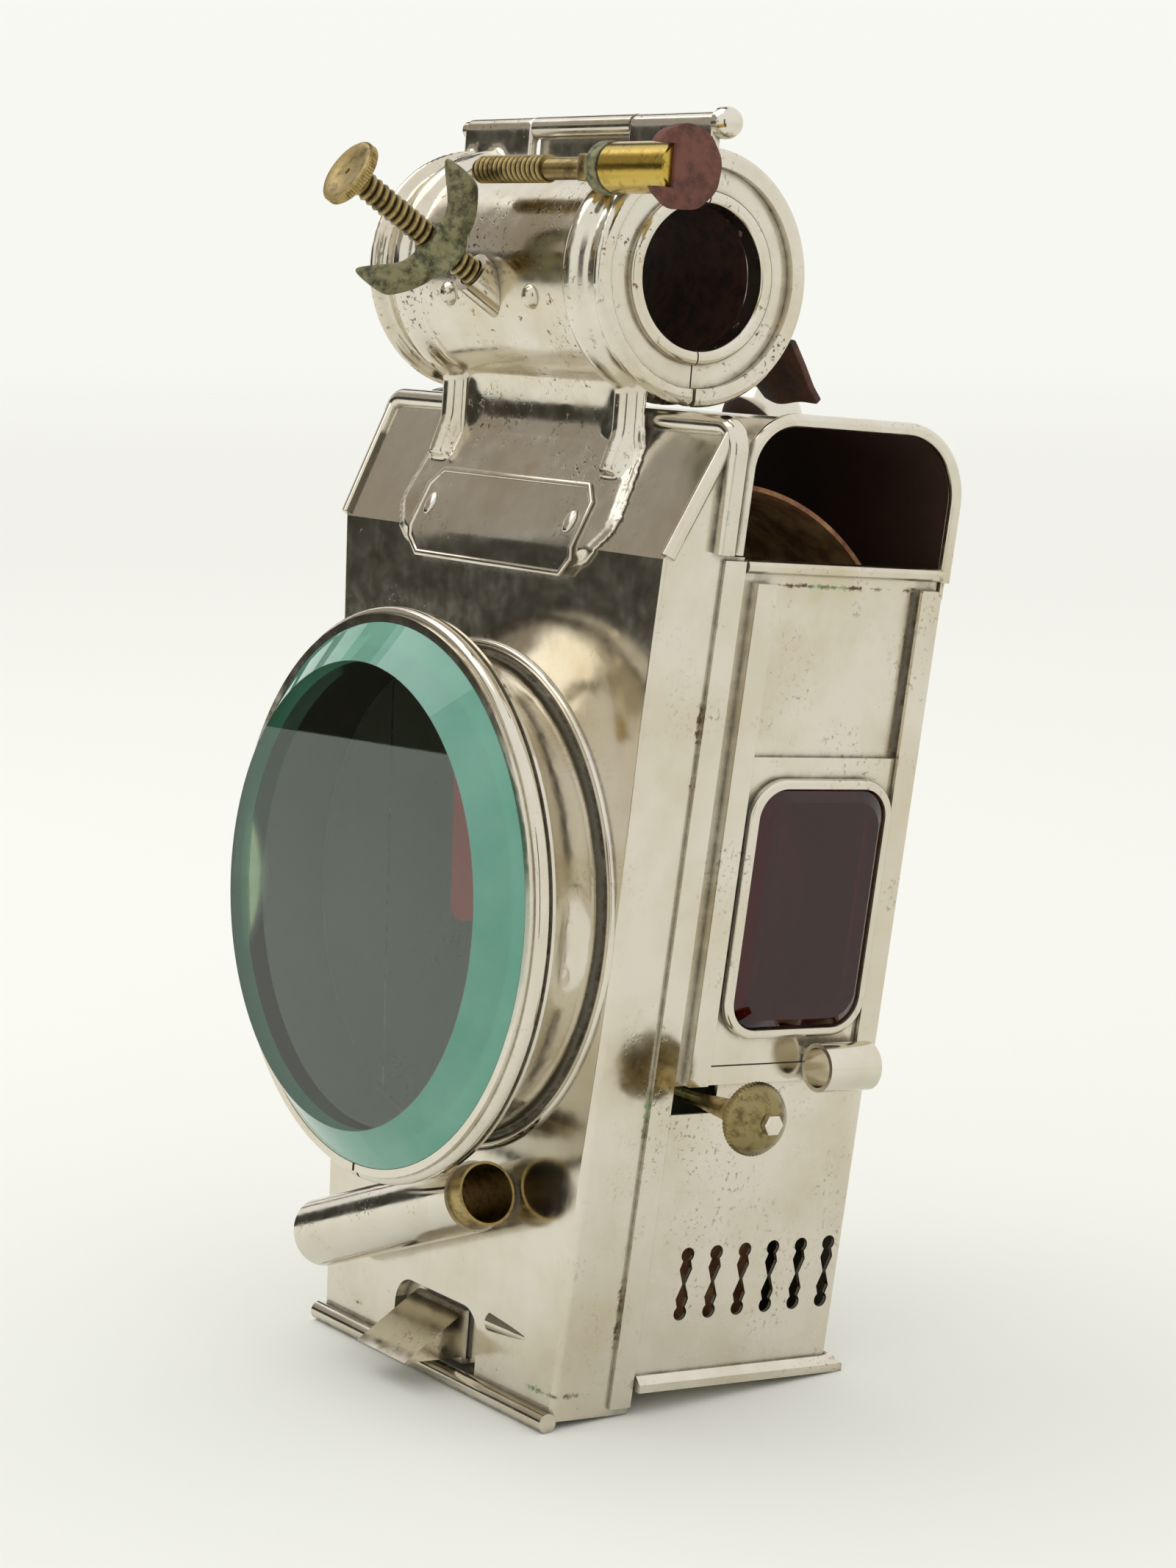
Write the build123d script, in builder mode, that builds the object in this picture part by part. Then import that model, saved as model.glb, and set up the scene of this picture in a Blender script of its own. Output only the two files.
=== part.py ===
"""Hub oil lamp for a high-wheel bicycle: nickel-plated sheet shell, bevelled glass, hub clamp.

The lamp is drawn upright: X runs across it, Y goes back from the plane of the front panel and Z
goes up from the underside of the base, in millimetres. At the end every piece is leaned back
together, because the rolled bead under the front panel hangs lower than the base.
"""

from build123d import *
import os
from math import atan2, cos, degrees, hypot, radians, sin

os.makedirs("parts", exist_ok=True)

# ---------------------------------------------------------------- driving sizes
sheet = 0.8                 # wall of the pressed and folded sheet
fit = 0.1                   # gap between pieces that are soldered or fit snugly
seam_gap = 0.35             # gap along the seams that open

base_half_width = 38.4      # half the lamp's width at the base
fold_half_width = 51.2      # half the lamp's width at the fold in the front panel
fold_height = 143.6         # height of the fold above the base
facet_rise = 21.0           # height of the leaning facet above the fold
facet_setback = 9.8         # how far the facet's top lies behind the panel
skirt_drop = 4.2            # how far the front panel hangs below the base
flange_depth = 15.8         # depth of the front shell's side flanges
seam_line = 11.1            # soldered seam along the flanges
band_thickness = 0.8        # channel soldered over each flange's rear edge
band_bottom = -2.8
case_back = 58.4            # depth of the rear wall's outside
sill_height = 142.0         # bottom of the hood's side openings
fold_radius = 1.2           # outside radius of the folds between the panel and its flanges
rib_radius = 1.3            # raised seam along each corner of the facet
crease_length = 11.2        # tapering crease pressed out beside the catch
crease_radius = 1.9
crease_sink = 1.0
bead_radius = 1.7           # rolled bead under the front panel
top_bead_radius = 1.9       # rolled bead along the top of the facet

lens_height = 80.6          # centre of the lens
bezel_radius = 50.0         # outside of the lens bezel
glass_radius = 47.15
glass_flat_radius = 40.4    # flat face inside the bevel
bevel_depth = 5.6
glass_edge = 2.8            # thickness of the glass at its rim
glass_dome = 2.6            # how far the back of the glass bulges
collar_root_radius = 42.5
collar_mouth_radius = 48.2
collar_length = 15.0
bezel_depth = 4.4
bezel_roll_radius = 1.36

hub_y = 13.8                # axis of the hub barrel
hub_z = 190.0
hub_bore_radius = 12.1
lip_radius = 14.6           # outside of the rolled lips at the barrel's ends
lip_length = 5.0
barrel_radius = 19.5
barrel_wall = 1.0
barrel_half_length = 36.5
ring_radius = 21.6          # swaged rings and end rims of the barrel
swage_place = 27.0
swage_round = 3.2
rim_width = 2.2
end_plate_inset = 1.6
liner_thickness = 1.5

pin_radius = 1.1
knuckle_radius = 2.0
hinge_rise = 3.8            # hinge axis above the barrel's rings
knuckle_split_left = -16.2
knuckle_split_right = 13.7
hinge_half_length = 38.2
pin_cap_radius = 2.7

screw_angle = 29.5          # the thumb screw's rise above the horizontal
screw_radius = 2.38
thumb_head_radius = 5.9
thumb_head_thickness = 2.2
thumb_screw_length = 33.0
screw_base_y = -4.6
screw_base_z = 185.9
boss_radius = 3.7
boss_length = 5.0
nut_place = 12.9            # wing nut's middle along the thumb screw
nut_radius = 4.1
nut_length = 6.0
wing_span = 11.5
wing_sweep = 8.0
wing_thickness = 1.9

stop_y = -5.5               # axis of the stop screw
stop_z = 206.1
stop_thread_end = -5.2
stop_thread_length = 22.0
stop_neck_radius = 1.9
stop_square = 4.4
lug_left = 33.2
lug_right = 36.3
lug_radius = 4.4
sleeve_radius = 4.2
sleeve_length = 18.2
sleeve_cap = 1.5            # closed end of the sleeve
washer_radius = 7.4         # slotted leather washer round the sleeve's end
washer_thickness = 2.4
washer_proud = 1.0          # how far the washer stands past the sleeve
washer_slot_width = 8.6
washer_slot_floor = 2.3     # slot's floor, in front of the screw's axis

tube_radius = 6.2           # cross tube under the lens
tube_bore_radius = 5.1
liner_wall = 0.5
tube_slope = 20.2
tube_left_x = -30.0
tube_left_z = 13.0
tube_length = 52.3
liner_proud = 4.0

arch_half_width = 13.7      # pressed recess round the catch
arch_top = 8.8
arch_depth = 2.4
arch_corner = 5.0
tongue_reach = -11.0        # tip of the spring tongue, in front of the panel
tongue_tip = -1.0
tongue_foot = -2.2          # underside of the tongue's tab, below the base plate's lip

plate_half_width = 26.0     # nameplate, bent over the fold
plate_top = 154.5
plate_bottom = 138.4
plate_corner = 3.0
bracket_half_width = 35.0
bracket_bottom = 140.0
bracket_thickness = 1.0
bracket_round = 6.0         # rounding of the bracket plate's corners
border_width = 2.2          # border of the bracket's plate
border_drop = 0.45

window_front = 30.0         # window opening in the case's side wall
window_back = 51.0
window_bottom = 68.0
window_top = 104.0
slide_front = 21.0          # slide plate that carries a side window
slide_back = 53.9
slide_bottom = 57.9
slide_top = 111.3
slide_thickness = 0.9
frame_front = 22.6          # nickel frame round the side glass
frame_back = 53.0
frame_bottom = 62.6
frame_top = 108.0
frame_corner = 7.0
frame_roll = 1.6            # width of the frame's rolled edge
frame_depth = 1.9
glass_thickness = 2.9
side_bevel = 2.0            # width of the side glass's bevel
finger_radius = 4.25
finger_length = 11.0
finger_front = 42.1
finger_height = 58.0

notch_bottom = 49.1         # notch that the wick winder passes through
notch_top = 54.2
notch_back = 25.6
winder_y = 22.0
winder_z = 51.6
winder_radius = 1.25
knob_radius = 6.3
knob_place = 57.6           # inner face of the winder's knob
knob_edge = 1.6
knob_dome = 3.7

hole_pitch = 6.17           # pierced air holes
hole_count = 6
first_hole = 24.3
hole_bottom = 11.9
hole_top = 25.1
hole_lobe = 1.35

moulding_proud = 2.2
moulding_height = 2.7

hood_front = 13.7
hood_top = 168.0
hood_front_corner = 9.0
hood_back_corner = 13.0
hood_rim_radius = 1.15
hood_knob_y = 56.0          # domed knob at the hood's rear edge
hood_knob_z = 167.2
hood_knob_radius = 7.4

cowl_y = 18.0               # curved baffle under the hood
cowl_z = 116.5
cowl_radius = 40.0
cowl_floor = 124.2
base_front = 7.0            # front lip of the base plate, inside the front shell
base_lip = 0.9
rail_front = 17.9           # slide rails
rail_proud = 1.27
rail_lip_proud = 2.0
slide_gap = 0.15
spur_radius = 2.6
wick_width = 12.0
wick_thickness = 2.5
wick_tube_top = 58.0

font_half_width = 31.0      # oil font
font_front = 15.0
font_back = 50.0
font_top = 36.0
burner_y = 27.0
burner_radius = 11.0
reflector_radius = 33.0
reflector_depth = 8.0

leaf_thickness = 0.8
case_knuckle_radius = 1.7
case_pin_radius = 0.8
case_hinge_out = 2.75       # case hinge axis, outside the wall
case_hinge_bottom = 57.0
case_hinge_top = 137.0
case_knuckles = 5

# ---------------------------------------------------------------- sizes worked out
taper = (fold_half_width - base_half_width) / fold_height
facet_top = fold_height + facet_rise
hinge_z = hub_z + ring_radius + hinge_rise
case_front = flange_depth + seam_gap
collar_front = -collar_length
glass_back = collar_front - 1.6
glass_front = glass_back - glass_edge - bevel_depth
bead_y = facet_setback + 0.9
bead_z = facet_top + 1.2
bottom_bead_z = -skirt_drop
bottom_bead_y = -0.9
hood_back = case_back + sheet + fit
screw_direction = Vector(0, -cos(radians(screw_angle)), sin(radians(screw_angle)))
screw_base = Vector(0, screw_base_y, screw_base_z)
lamp_lean = atan2(skirt_drop + bead_radius, case_back + moulding_proud - bottom_bead_y)


def half_width(height):
    """Half the lamp's width at a height above the base."""
    return base_half_width + taper * height


def facet_depth(height):
    """How far back the facet lies at a height above the fold."""
    return facet_setback * (height - fold_height) / facet_rise


def half_way(rim_radius, rise):
    """Point half-way up a spherical dome, as (height above the rim, radius)."""
    ball = (rim_radius ** 2 + rise ** 2) / (2 * rise)
    angle = atan2(rim_radius, ball - rise) / 2
    return ball * cos(angle) - (ball - rise), ball * sin(angle)


def side_plane(side, height, depth, proud=0.0):
    """A plane on a side wall's outside, X along the depth, with its normal pointing outwards."""
    normal = Vector(side, 0, -taper).normalized()
    origin = Vector(side * half_width(height), depth, height) + normal * proud
    return Plane(origin=origin, x_dir=(0, side, 0), z_dir=normal)


# The slanting outline that every full-width piece is cut to.
def outline_between(bottom, top, grow=0.0):
    """Corners of the lamp's front outline between two heights."""
    low = half_width(bottom) + grow
    high = half_width(top) + grow
    return [(-low, bottom), (low, bottom), (high, top), (-high, top)]


# ---------------------------------------------------------------- front shell
with BuildPart() as front_shell:
    with BuildSketch(Plane.XZ):
        with BuildLine():
            Polyline(*outline_between(-skirt_drop, facet_top), close=True)
        make_face()
    extrude(amount=-flange_depth)
    with BuildSketch(Plane.YZ):
        with BuildLine():
            Polyline((0, fold_height), (facet_setback, facet_top), (0, facet_top), close=True)
        make_face()
    extrude(amount=2 * fold_half_width, both=True, mode=Mode.SUBTRACT)
    side_folds = front_shell.edges().filter_by(
        lambda edge: abs(edge.center().Y) < 0.01 and abs(edge.center().X) > base_half_width)
    fillet(side_folds, fold_radius)
    rear_face = front_shell.faces().sort_by(Axis.Y)[-1]
    bottom_face = front_shell.faces().sort_by(Axis.Z)[0]
    offset(amount=-sheet, openings=[rear_face, bottom_face])
    # Above the fold the flanges stop short, in front of the hood.
    with BuildSketch(Plane.YZ):
        with Locations((bead_y + top_bead_radius, fold_height + 1)):
            Rectangle(flange_depth, facet_rise, align=(Align.MIN, Align.MIN))
    extrude(amount=2 * fold_half_width, both=True, mode=Mode.SUBTRACT)
    # Pressed recess round the catch.
    with BuildSketch(Plane.XZ.offset(-arch_depth - sheet)):
        with Locations((0, -skirt_drop)):
            pan = Rectangle(2 * (arch_half_width + sheet), arch_top + sheet + skirt_drop,
                            align=(Align.CENTER, Align.MIN))
        fillet(pan.vertices().group_by(Axis.Y)[-1], arch_corner + sheet)
    extrude(amount=arch_depth + sheet)
    with BuildSketch(Plane.XZ.offset(-arch_depth)):
        with Locations((0, -skirt_drop)):
            hollow = Rectangle(2 * arch_half_width, arch_top + skirt_drop,
                               align=(Align.CENTER, Align.MIN))
        fillet(hollow.vertices().group_by(Axis.Y)[-1], arch_corner)
    extrude(amount=arch_depth + sheet, mode=Mode.SUBTRACT)
    with BuildSketch(Plane.XZ.offset(-arch_depth + 0.3)):
        with Locations((0, tongue_foot - 4)):
            Rectangle(17, 5.1, align=(Align.CENTER, Align.MIN))
    extrude(amount=-sheet - 0.6, mode=Mode.SUBTRACT)
    # Embossed ring round the collar, and the hole that the collar stands round.
    with BuildSketch(Plane.XY.offset(lens_height)):
        with Locations((collar_root_radius + 1.6, 0)):
            Circle(0.9)
    revolve(axis=Axis((0, 0, lens_height), (0, 1, 0)))
    with BuildSketch(Plane.XZ.offset(2)):
        with Locations((0, lens_height)):
            Circle(collar_root_radius - sheet)
    extrude(amount=-6, mode=Mode.SUBTRACT)
    # Raised seam along each corner of the facet.
    for side in (-1, 1):
        rib_foot = Vector(side * (half_width(fold_height) - 0.4), 0.5, fold_height + 0.4)
        rib_head = Vector(side * (half_width(facet_top) - 0.4), facet_setback + 0.3, facet_top)
        with BuildSketch(Plane(origin=rib_foot, z_dir=rib_head - rib_foot)):
            Circle(rib_radius)
        extrude(amount=(rib_head - rib_foot).length)
    # Crease pressed out beside the recess.
    crease = Plane(origin=(arch_half_width + sheet + 2.5, crease_sink, arch_top - 0.9),
                   z_dir=(1, 0, 0))
    with BuildSketch(crease):
        Circle(crease_radius)
    with BuildSketch(crease.offset(crease_length)):
        Circle(crease_sink + 0.05)
    loft()
    with BuildSketch(Plane.XZ.offset(-sheet)):
        with Locations((arch_half_width + 10, arch_top)):
            Rectangle(crease_length + 12, 12)
    extrude(amount=-4, mode=Mode.SUBTRACT)
    # Rolled bead under the panel.
    with BuildSketch(Plane.YZ.offset(-base_half_width)):
        with Locations((bottom_bead_y, bottom_bead_z)):
            Circle(bead_radius)
    extrude(amount=2 * base_half_width)
    # Rolled bead along the facet's top, turned down at both ends.
    bead_foot = fold_height + 1.4
    with BuildLine(Plane.XZ.offset(-bead_y)) as bead_path:
        FilletPolyline((-half_width(bead_foot) - 1, bead_foot), (-half_width(bead_z) - 1, bead_z),
                       (half_width(bead_z) + 1, bead_z), (half_width(bead_foot) + 1, bead_foot),
                       radius=4)
    with BuildSketch(Plane(bead_path.line @ 0, z_dir=bead_path.line % 0)):
        Circle(top_bead_radius)
    sweep(path=bead_path.line)

# ---------------------------------------------------------------- lens
lens_axis = Axis((0, 0, lens_height), (0, 1, 0))
lens_section = Plane.XY.offset(lens_height)

with BuildPart() as lens_collar:
    with BuildSketch(lens_section):
        with BuildLine():
            outside = Spline((collar_root_radius, 0), (collar_root_radius + 1.2, -collar_length * 0.4),
                             (collar_mouth_radius, -collar_length))
            inside = Spline((collar_root_radius - sheet, 0),
                            (collar_root_radius + 1.2 - sheet, -collar_length * 0.4),
                            (collar_mouth_radius - sheet, -collar_length))
            Line(outside @ 0, inside @ 0)
            Line(outside @ 1, inside @ 1)
        make_face()
    revolve(axis=lens_axis)

with BuildPart() as lens_bezel:
    with BuildSketch(lens_section):
        with Locations(((glass_radius + fit + bezel_radius - 0.4) / 2, collar_front)):
            Rectangle(bezel_radius - 0.4 - glass_radius - fit, 0.6, align=(Align.CENTER, Align.MAX))
        with Locations((bezel_radius - bezel_roll_radius, collar_front - bezel_depth / 2)):
            Circle(bezel_roll_radius)
        with Locations((glass_radius + fit, collar_front)):
            Rectangle(bezel_radius - bezel_roll_radius - glass_radius - fit, bezel_depth,
                      align=(Align.MIN, Align.MAX))
    revolve(axis=lens_axis)
    with BuildSketch(Plane.XZ.offset(collar_length)):
        with Locations((0, lens_height - bezel_radius)):
            Rectangle(0.7, 8)
    extrude(amount=bezel_depth + 1, mode=Mode.SUBTRACT)

with BuildPart() as lens_glass:
    with BuildSketch(lens_section):
        with BuildLine():
            Polyline((0, glass_back + glass_dome), (0, glass_front), (glass_flat_radius, glass_front),
                     (glass_radius, glass_front + bevel_depth), (glass_radius, glass_back))
            dome_height, dome_width = half_way(glass_radius, glass_dome)
            ThreePointArc((glass_radius, glass_back), (dome_width, glass_back + dome_height),
                          (0, glass_back + glass_dome))
        make_face()
    revolve(axis=lens_axis)

with BuildPart() as lens_clip_ring:
    with BuildSketch(lens_section):
        with Locations((collar_mouth_radius - sheet - 1.3, glass_back + 1.3)):
            Circle(0.55)
    revolve(axis=lens_axis)

# ---------------------------------------------------------------- cross tube
tube_direction = Vector(cos(radians(tube_slope)), 0, sin(radians(tube_slope)))
tube_end = Plane(origin=(tube_left_x, -tube_radius - fit, tube_left_z), z_dir=tube_direction)

with BuildPart() as cross_tube:
    with BuildSketch(tube_end):
        Circle(tube_radius)
        Circle(tube_bore_radius + liner_wall, mode=Mode.SUBTRACT)
    extrude(amount=tube_length)

with BuildPart() as tube_liner:
    with BuildSketch(tube_end.offset(1.0)):
        Circle(tube_bore_radius + liner_wall - 0.02)
        Circle(tube_bore_radius, mode=Mode.SUBTRACT)
    extrude(amount=tube_length - 1.0 + liner_proud)

# ---------------------------------------------------------------- nameplate and hub bracket
facet_length = hypot(facet_setback, facet_rise)
facet_run = facet_setback / facet_length
facet_climb = facet_rise / facet_length


def over_fold(bottom, top, gap):
    """Side view of a line up the panel and the facet, a gap in front of both."""
    knee = (-gap, fold_height + gap * (1 - facet_climb) / facet_run)
    end = (facet_depth(top) - facet_climb * gap, top + facet_run * gap)
    return [(-gap, bottom), knee, end]


with BuildPart() as nameplate:
    with BuildSketch(Plane.YZ):
        with BuildLine():
            Polyline(*over_fold(plate_bottom, plate_top, bracket_thickness + 0.02),
                     *reversed(over_fold(plate_bottom, plate_top, bracket_thickness + sheet)),
                     close=True)
        make_face()
    extrude(amount=plate_half_width, both=True)
    with BuildSketch(Plane.XZ.offset(10)):
        with Locations((0, (plate_bottom + plate_top) / 2)):
            plate_face = Rectangle(2 * plate_half_width, plate_top - plate_bottom + 1)
        chamfer(plate_face.vertices(), plate_corner)
    extrude(amount=-30, mode=Mode.INTERSECT)

bracket_leaves = fold_height + 17.4       # where the bracket leaves the facet
bracket_y = facet_depth(bracket_leaves)
barrel_bottom = hub_z - barrel_radius
front_half_edge = hub_y - fit * 1.5
rear_half_edge = hub_y + fit * 1.5
hub_section = Plane.XY.offset(hub_z)      # X along the barrel, Y back
hub_axis = Axis((0, hub_y, hub_z), (1, 0, 0))


def barrel_shell():
    """The barrel's sheet with its swaged rings and end rims, all the way round."""
    with BuildPart() as shell:
        with BuildSketch(Plane.YZ.offset(-barrel_half_length)):
            with Locations((hub_y, hub_z)):
                Circle(barrel_radius)
        extrude(amount=2 * barrel_half_length)
        for side in (-1, 1):
            with BuildSketch(hub_section):
                with Locations((side * swage_place, hub_y - ring_radius + swage_round)):
                    Circle(swage_round)
                with Locations((side * (barrel_half_length - rim_width / 2),
                                hub_y - ring_radius + rim_width / 2)):
                    Circle(rim_width / 2)
                    Rectangle(rim_width, ring_radius - barrel_radius,
                              align=(Align.CENTER, Align.MIN))
            revolve(axis=hub_axis)
    return shell.part


def half_space(front):
    """A block that holds everything in front of, or behind, the barrel's parting plane."""
    with BuildPart() as block:
        with BuildSketch(Plane.XY.offset(hub_z - 60)):
            with Locations((0, front_half_edge if front else rear_half_edge)):
                Rectangle(120, 60, align=(Align.CENTER, Align.MAX if front else Align.MIN))
        extrude(amount=120)
    return block.part


def knuckle(left, right, leaf_front, leaf_back):
    """A rolled hinge knuckle between two stations, with the leaf that joins it to the barrel."""
    with BuildPart() as roll:
        with BuildSketch(Plane.YZ.offset(left)):
            with Locations((hub_y, hinge_z)):
                Circle(knuckle_radius)
            with Locations((leaf_front, hub_z + barrel_radius - barrel_wall)):
                Rectangle(leaf_back - leaf_front, hinge_z - hub_z - barrel_radius + barrel_wall,
                          align=(Align.MIN, Align.MIN))
            with Locations((hub_y, hinge_z)):
                Circle(pin_radius + fit / 2, mode=Mode.SUBTRACT)
        extrude(amount=right - left)
    return roll.part


with BuildPart() as barrel_inside:
    with BuildSketch(Plane.YZ.offset(-barrel_half_length - 5)):
        with Locations((hub_y, hub_z)):
            Circle(barrel_radius - barrel_wall)
    extrude(amount=2 * barrel_half_length + 10)

whole_barrel = barrel_shell()
screw_plane = Plane(origin=screw_base - screw_direction * 6, x_dir=(1, 0, 0),
                    z_dir=screw_direction)

bracket_waist = barrel_bottom - 4
bracket_right = [(bracket_half_width - 6.5, bracket_bottom), (bracket_half_width, fold_height + 4),
                 (bracket_half_width - 4, bracket_waist), (bracket_half_width - 4, barrel_bottom + 4)]
bracket_corners = bracket_right + [(-x, z) for x, z in reversed(bracket_right)]

with BuildPart() as bracket_step:
    # The border of the bracket's plate lies a little lower than its middle.
    with BuildSketch(Plane.YZ):
        with BuildLine():
            Polyline(*over_fold(bracket_bottom - 3, bracket_leaves, bracket_thickness - border_drop),
                     *reversed(over_fold(bracket_bottom - 3, bracket_leaves, bracket_thickness + 1)),
                     close=True)
        make_face()
    extrude(amount=bracket_half_width + 2, both=True)
    with BuildSketch(Plane.XZ.offset(10)):
        with BuildLine():
            Polyline(*bracket_corners, close=True)
        middle = make_face()
        fillet(middle.vertices().filter_by_position(Axis.Y, bracket_bottom - 1, bracket_waist + 1),
               bracket_round)
        offset(amount=-border_width, mode=Mode.REPLACE)
    extrude(amount=-30, mode=Mode.SUBTRACT)

with BuildPart() as hub_bracket:
    # Plate from the panel over the fold and the facet, then up to the barrel.
    inner_line = over_fold(bracket_bottom, bracket_leaves, 0.02)
    outer_line = over_fold(bracket_bottom, bracket_leaves, bracket_thickness)
    inner_line.append((bracket_y, barrel_bottom + 2))
    outer_line.append((bracket_y - bracket_thickness, barrel_bottom + 2))
    with BuildSketch(Plane.YZ):
        with BuildLine():
            Polyline(*inner_line, *reversed(outer_line), close=True)
        make_face()
    extrude(amount=bracket_half_width, both=True)
    with BuildSketch(Plane.XZ.offset(10)):
        with BuildLine():
            Polyline(*bracket_corners, close=True)
        bracket_outline = make_face()
        fillet(bracket_outline.vertices().filter_by_position(Axis.Y, bracket_bottom - 1, bracket_waist + 1),
               bracket_round)
    extrude(amount=-30, mode=Mode.INTERSECT)
    add(bracket_step.part, mode=Mode.SUBTRACT)
    # Swaged legs that carry the rings down onto the facet.
    leg_top = (bracket_y - bracket_thickness, barrel_bottom + 2)
    leg_knee = (bracket_y - bracket_thickness, bracket_leaves + 2)
    foot_height = plate_top + 1.5
    leg_foot = (facet_depth(foot_height) - bracket_thickness, foot_height)
    for side in (-1, 1):
        with BuildLine(Plane.YZ.offset(side * swage_place)) as leg_path:
            FilletPolyline(leg_top, leg_knee, leg_foot, radius=5)
        with BuildSketch(Plane(leg_path.line @ 0, z_dir=leg_path.line % 0)):
            Circle(swage_round * 0.8)
        sweep(path=leg_path.line)
    with BuildSketch(Plane.YZ):
        with BuildLine():
            Polyline(*inner_line, (40, barrel_bottom + 2), (40, bracket_bottom - 10),
                     (-0.02, bracket_bottom - 10), close=True)
        make_face()
    extrude(amount=bracket_half_width + 10, both=True, mode=Mode.SUBTRACT)
    add(whole_barrel)
    add(knuckle(-hinge_half_length, knuckle_split_left - fit, hub_y - knuckle_radius, hub_y - fit * 2))
    add(knuckle(knuckle_split_right + fit, hinge_half_length, hub_y - knuckle_radius,
                hub_y - fit * 2))
    add(barrel_inside.part, mode=Mode.SUBTRACT)
    # The knuckles reach past the parting plane, so only the barrel below them is halved.
    with BuildSketch(Plane.YZ):
        with Locations((front_half_edge, hub_z - 40)):
            Rectangle(60, 40 + ring_radius + fit, align=(Align.MIN, Align.MIN))
    extrude(amount=60, both=True, mode=Mode.SUBTRACT)
    with BuildSketch(screw_plane):
        Circle(screw_radius + fit)
    extrude(amount=12, mode=Mode.SUBTRACT)

with BuildPart() as rear_barrel_half:
    add(whole_barrel)
    add(knuckle(knuckle_split_left, knuckle_split_right, hub_y + fit * 2, hub_y + knuckle_radius))
    add(barrel_inside.part, mode=Mode.SUBTRACT)
    with BuildSketch(Plane.YZ):
        with Locations((rear_half_edge, hub_z - 40)):
            Rectangle(60, 40 + ring_radius + fit, align=(Align.MAX, Align.MIN))
    extrude(amount=60, both=True, mode=Mode.SUBTRACT)


def end_rings():
    """Both annular end plates with their rolled lips, all the way round."""
    with BuildPart() as rings:
        for side in (-1, 1):
            with BuildSketch(hub_section):
                plate_x = barrel_half_length - end_plate_inset
                with Locations((side * (plate_x - sheet / 2), hub_y - lip_radius + 0.5)):
                    Rectangle(sheet, barrel_radius - barrel_wall - fit / 2 - lip_radius + 0.5,
                              align=(Align.CENTER, Align.MAX))
                with Locations((side * (barrel_half_length - lip_length / 2),
                                hub_y - (lip_radius + hub_bore_radius) / 2)):
                    RectangleRounded(lip_length, lip_radius - hub_bore_radius, 1.0)
            revolve(axis=hub_axis)
    return rings.part


def liner_sleeve():
    """The leather sleeve inside the barrel, all the way round."""
    outer = barrel_radius - barrel_wall - fit
    with BuildPart() as sleeve:
        with BuildSketch(Plane.YZ.offset(-barrel_half_length + 3)):
            with Locations((hub_y, hub_z)):
                Circle(outer)
                Circle(outer - liner_thickness, mode=Mode.SUBTRACT)
        extrude(amount=2 * barrel_half_length - 6)
    return sleeve.part


whole_rings = end_rings()
whole_liner = liner_sleeve()
front_space = half_space(True)
rear_space = half_space(False)

with BuildPart() as front_end_rings:
    add(whole_rings)
    add(front_space, mode=Mode.INTERSECT)

with BuildPart() as rear_end_rings:
    add(whole_rings)
    add(rear_space, mode=Mode.INTERSECT)

with BuildPart() as front_liner:
    add(whole_liner)
    add(front_space, mode=Mode.INTERSECT)
    with BuildSketch(screw_plane):
        Circle(screw_radius + 3 * fit)
    extrude(amount=12, mode=Mode.SUBTRACT)

with BuildPart() as rear_liner:
    add(whole_liner)
    add(rear_space, mode=Mode.INTERSECT)

with BuildPart() as hinge_pin:
    with BuildSketch(Plane.XY.offset(hinge_z)):
        with BuildLine():
            Polyline((-hinge_half_length - 1.4, hub_y), (-hinge_half_length - 1.4, hub_y - 1.6),
                     (-hinge_half_length - fit, hub_y - 1.6), (-hinge_half_length - fit, hub_y - pin_radius),
                     (hinge_half_length + fit, hub_y - pin_radius),
                     (hinge_half_length + fit, hub_y - pin_cap_radius),
                     (hinge_half_length + 1.0, hub_y - pin_cap_radius))
            cap_height, cap_width = half_way(pin_cap_radius, pin_cap_radius)
            ThreePointArc((hinge_half_length + 1.0, hub_y - pin_cap_radius),
                          (hinge_half_length + 1.0 + cap_height, hub_y - cap_width),
                          (hinge_half_length + 1.0 + pin_cap_radius, hub_y))
            Line((hinge_half_length + 1.0 + pin_cap_radius, hub_y), (-hinge_half_length - 1.4, hub_y))
        make_face()
    revolve(axis=Axis((0, hub_y, hinge_z), (1, 0, 0)))

# ---------------------------------------------------------------- screws on the barrel
with BuildPart() as screw_boss:
    with BuildSketch(screw_plane):
        Circle(boss_radius)
        Circle(screw_radius + fit, mode=Mode.SUBTRACT)
    extrude(amount=6 + boss_length)
    with BuildSketch(Plane.YZ.offset(-10)):
        with Locations((hub_y, hub_z)):
            Circle(barrel_radius + fit / 5)
    extrude(amount=20, mode=Mode.SUBTRACT)

with BuildPart() as barrel_rivets:
    rivet_depth = barrel_radius - 0.9
    rivet_spots = [(-12.9, -5.0), (12.9, -5.0), (-4.0, 17.0)]
    for rivet_x, rivet_z in rivet_spots:
        rivet_y = hub_y - (rivet_depth ** 2 - rivet_z ** 2) ** 0.5
        with Locations((rivet_x, rivet_y, hub_z + rivet_z)):
            Sphere(2.3)
    with BuildSketch(Plane.YZ.offset(-20)):
        with Locations((hub_y, hub_z)):
            Circle(barrel_radius + fit / 5)
    extrude(amount=40, mode=Mode.SUBTRACT)

with BuildPart() as thumb_screw:
    with BuildSketch(screw_plane.offset(4)):
        Circle(screw_radius)
    extrude(amount=2 + thumb_screw_length)
    with BuildSketch(screw_plane.offset(6 + thumb_screw_length)):
        Circle(thumb_head_radius)
    extrude(amount=thumb_head_thickness)
    fillet(thumb_screw.edges().filter_by(GeomType.CIRCLE).sort_by(Axis(screw_plane.origin,
           screw_plane.z_dir))[-1], 1.4)

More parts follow.
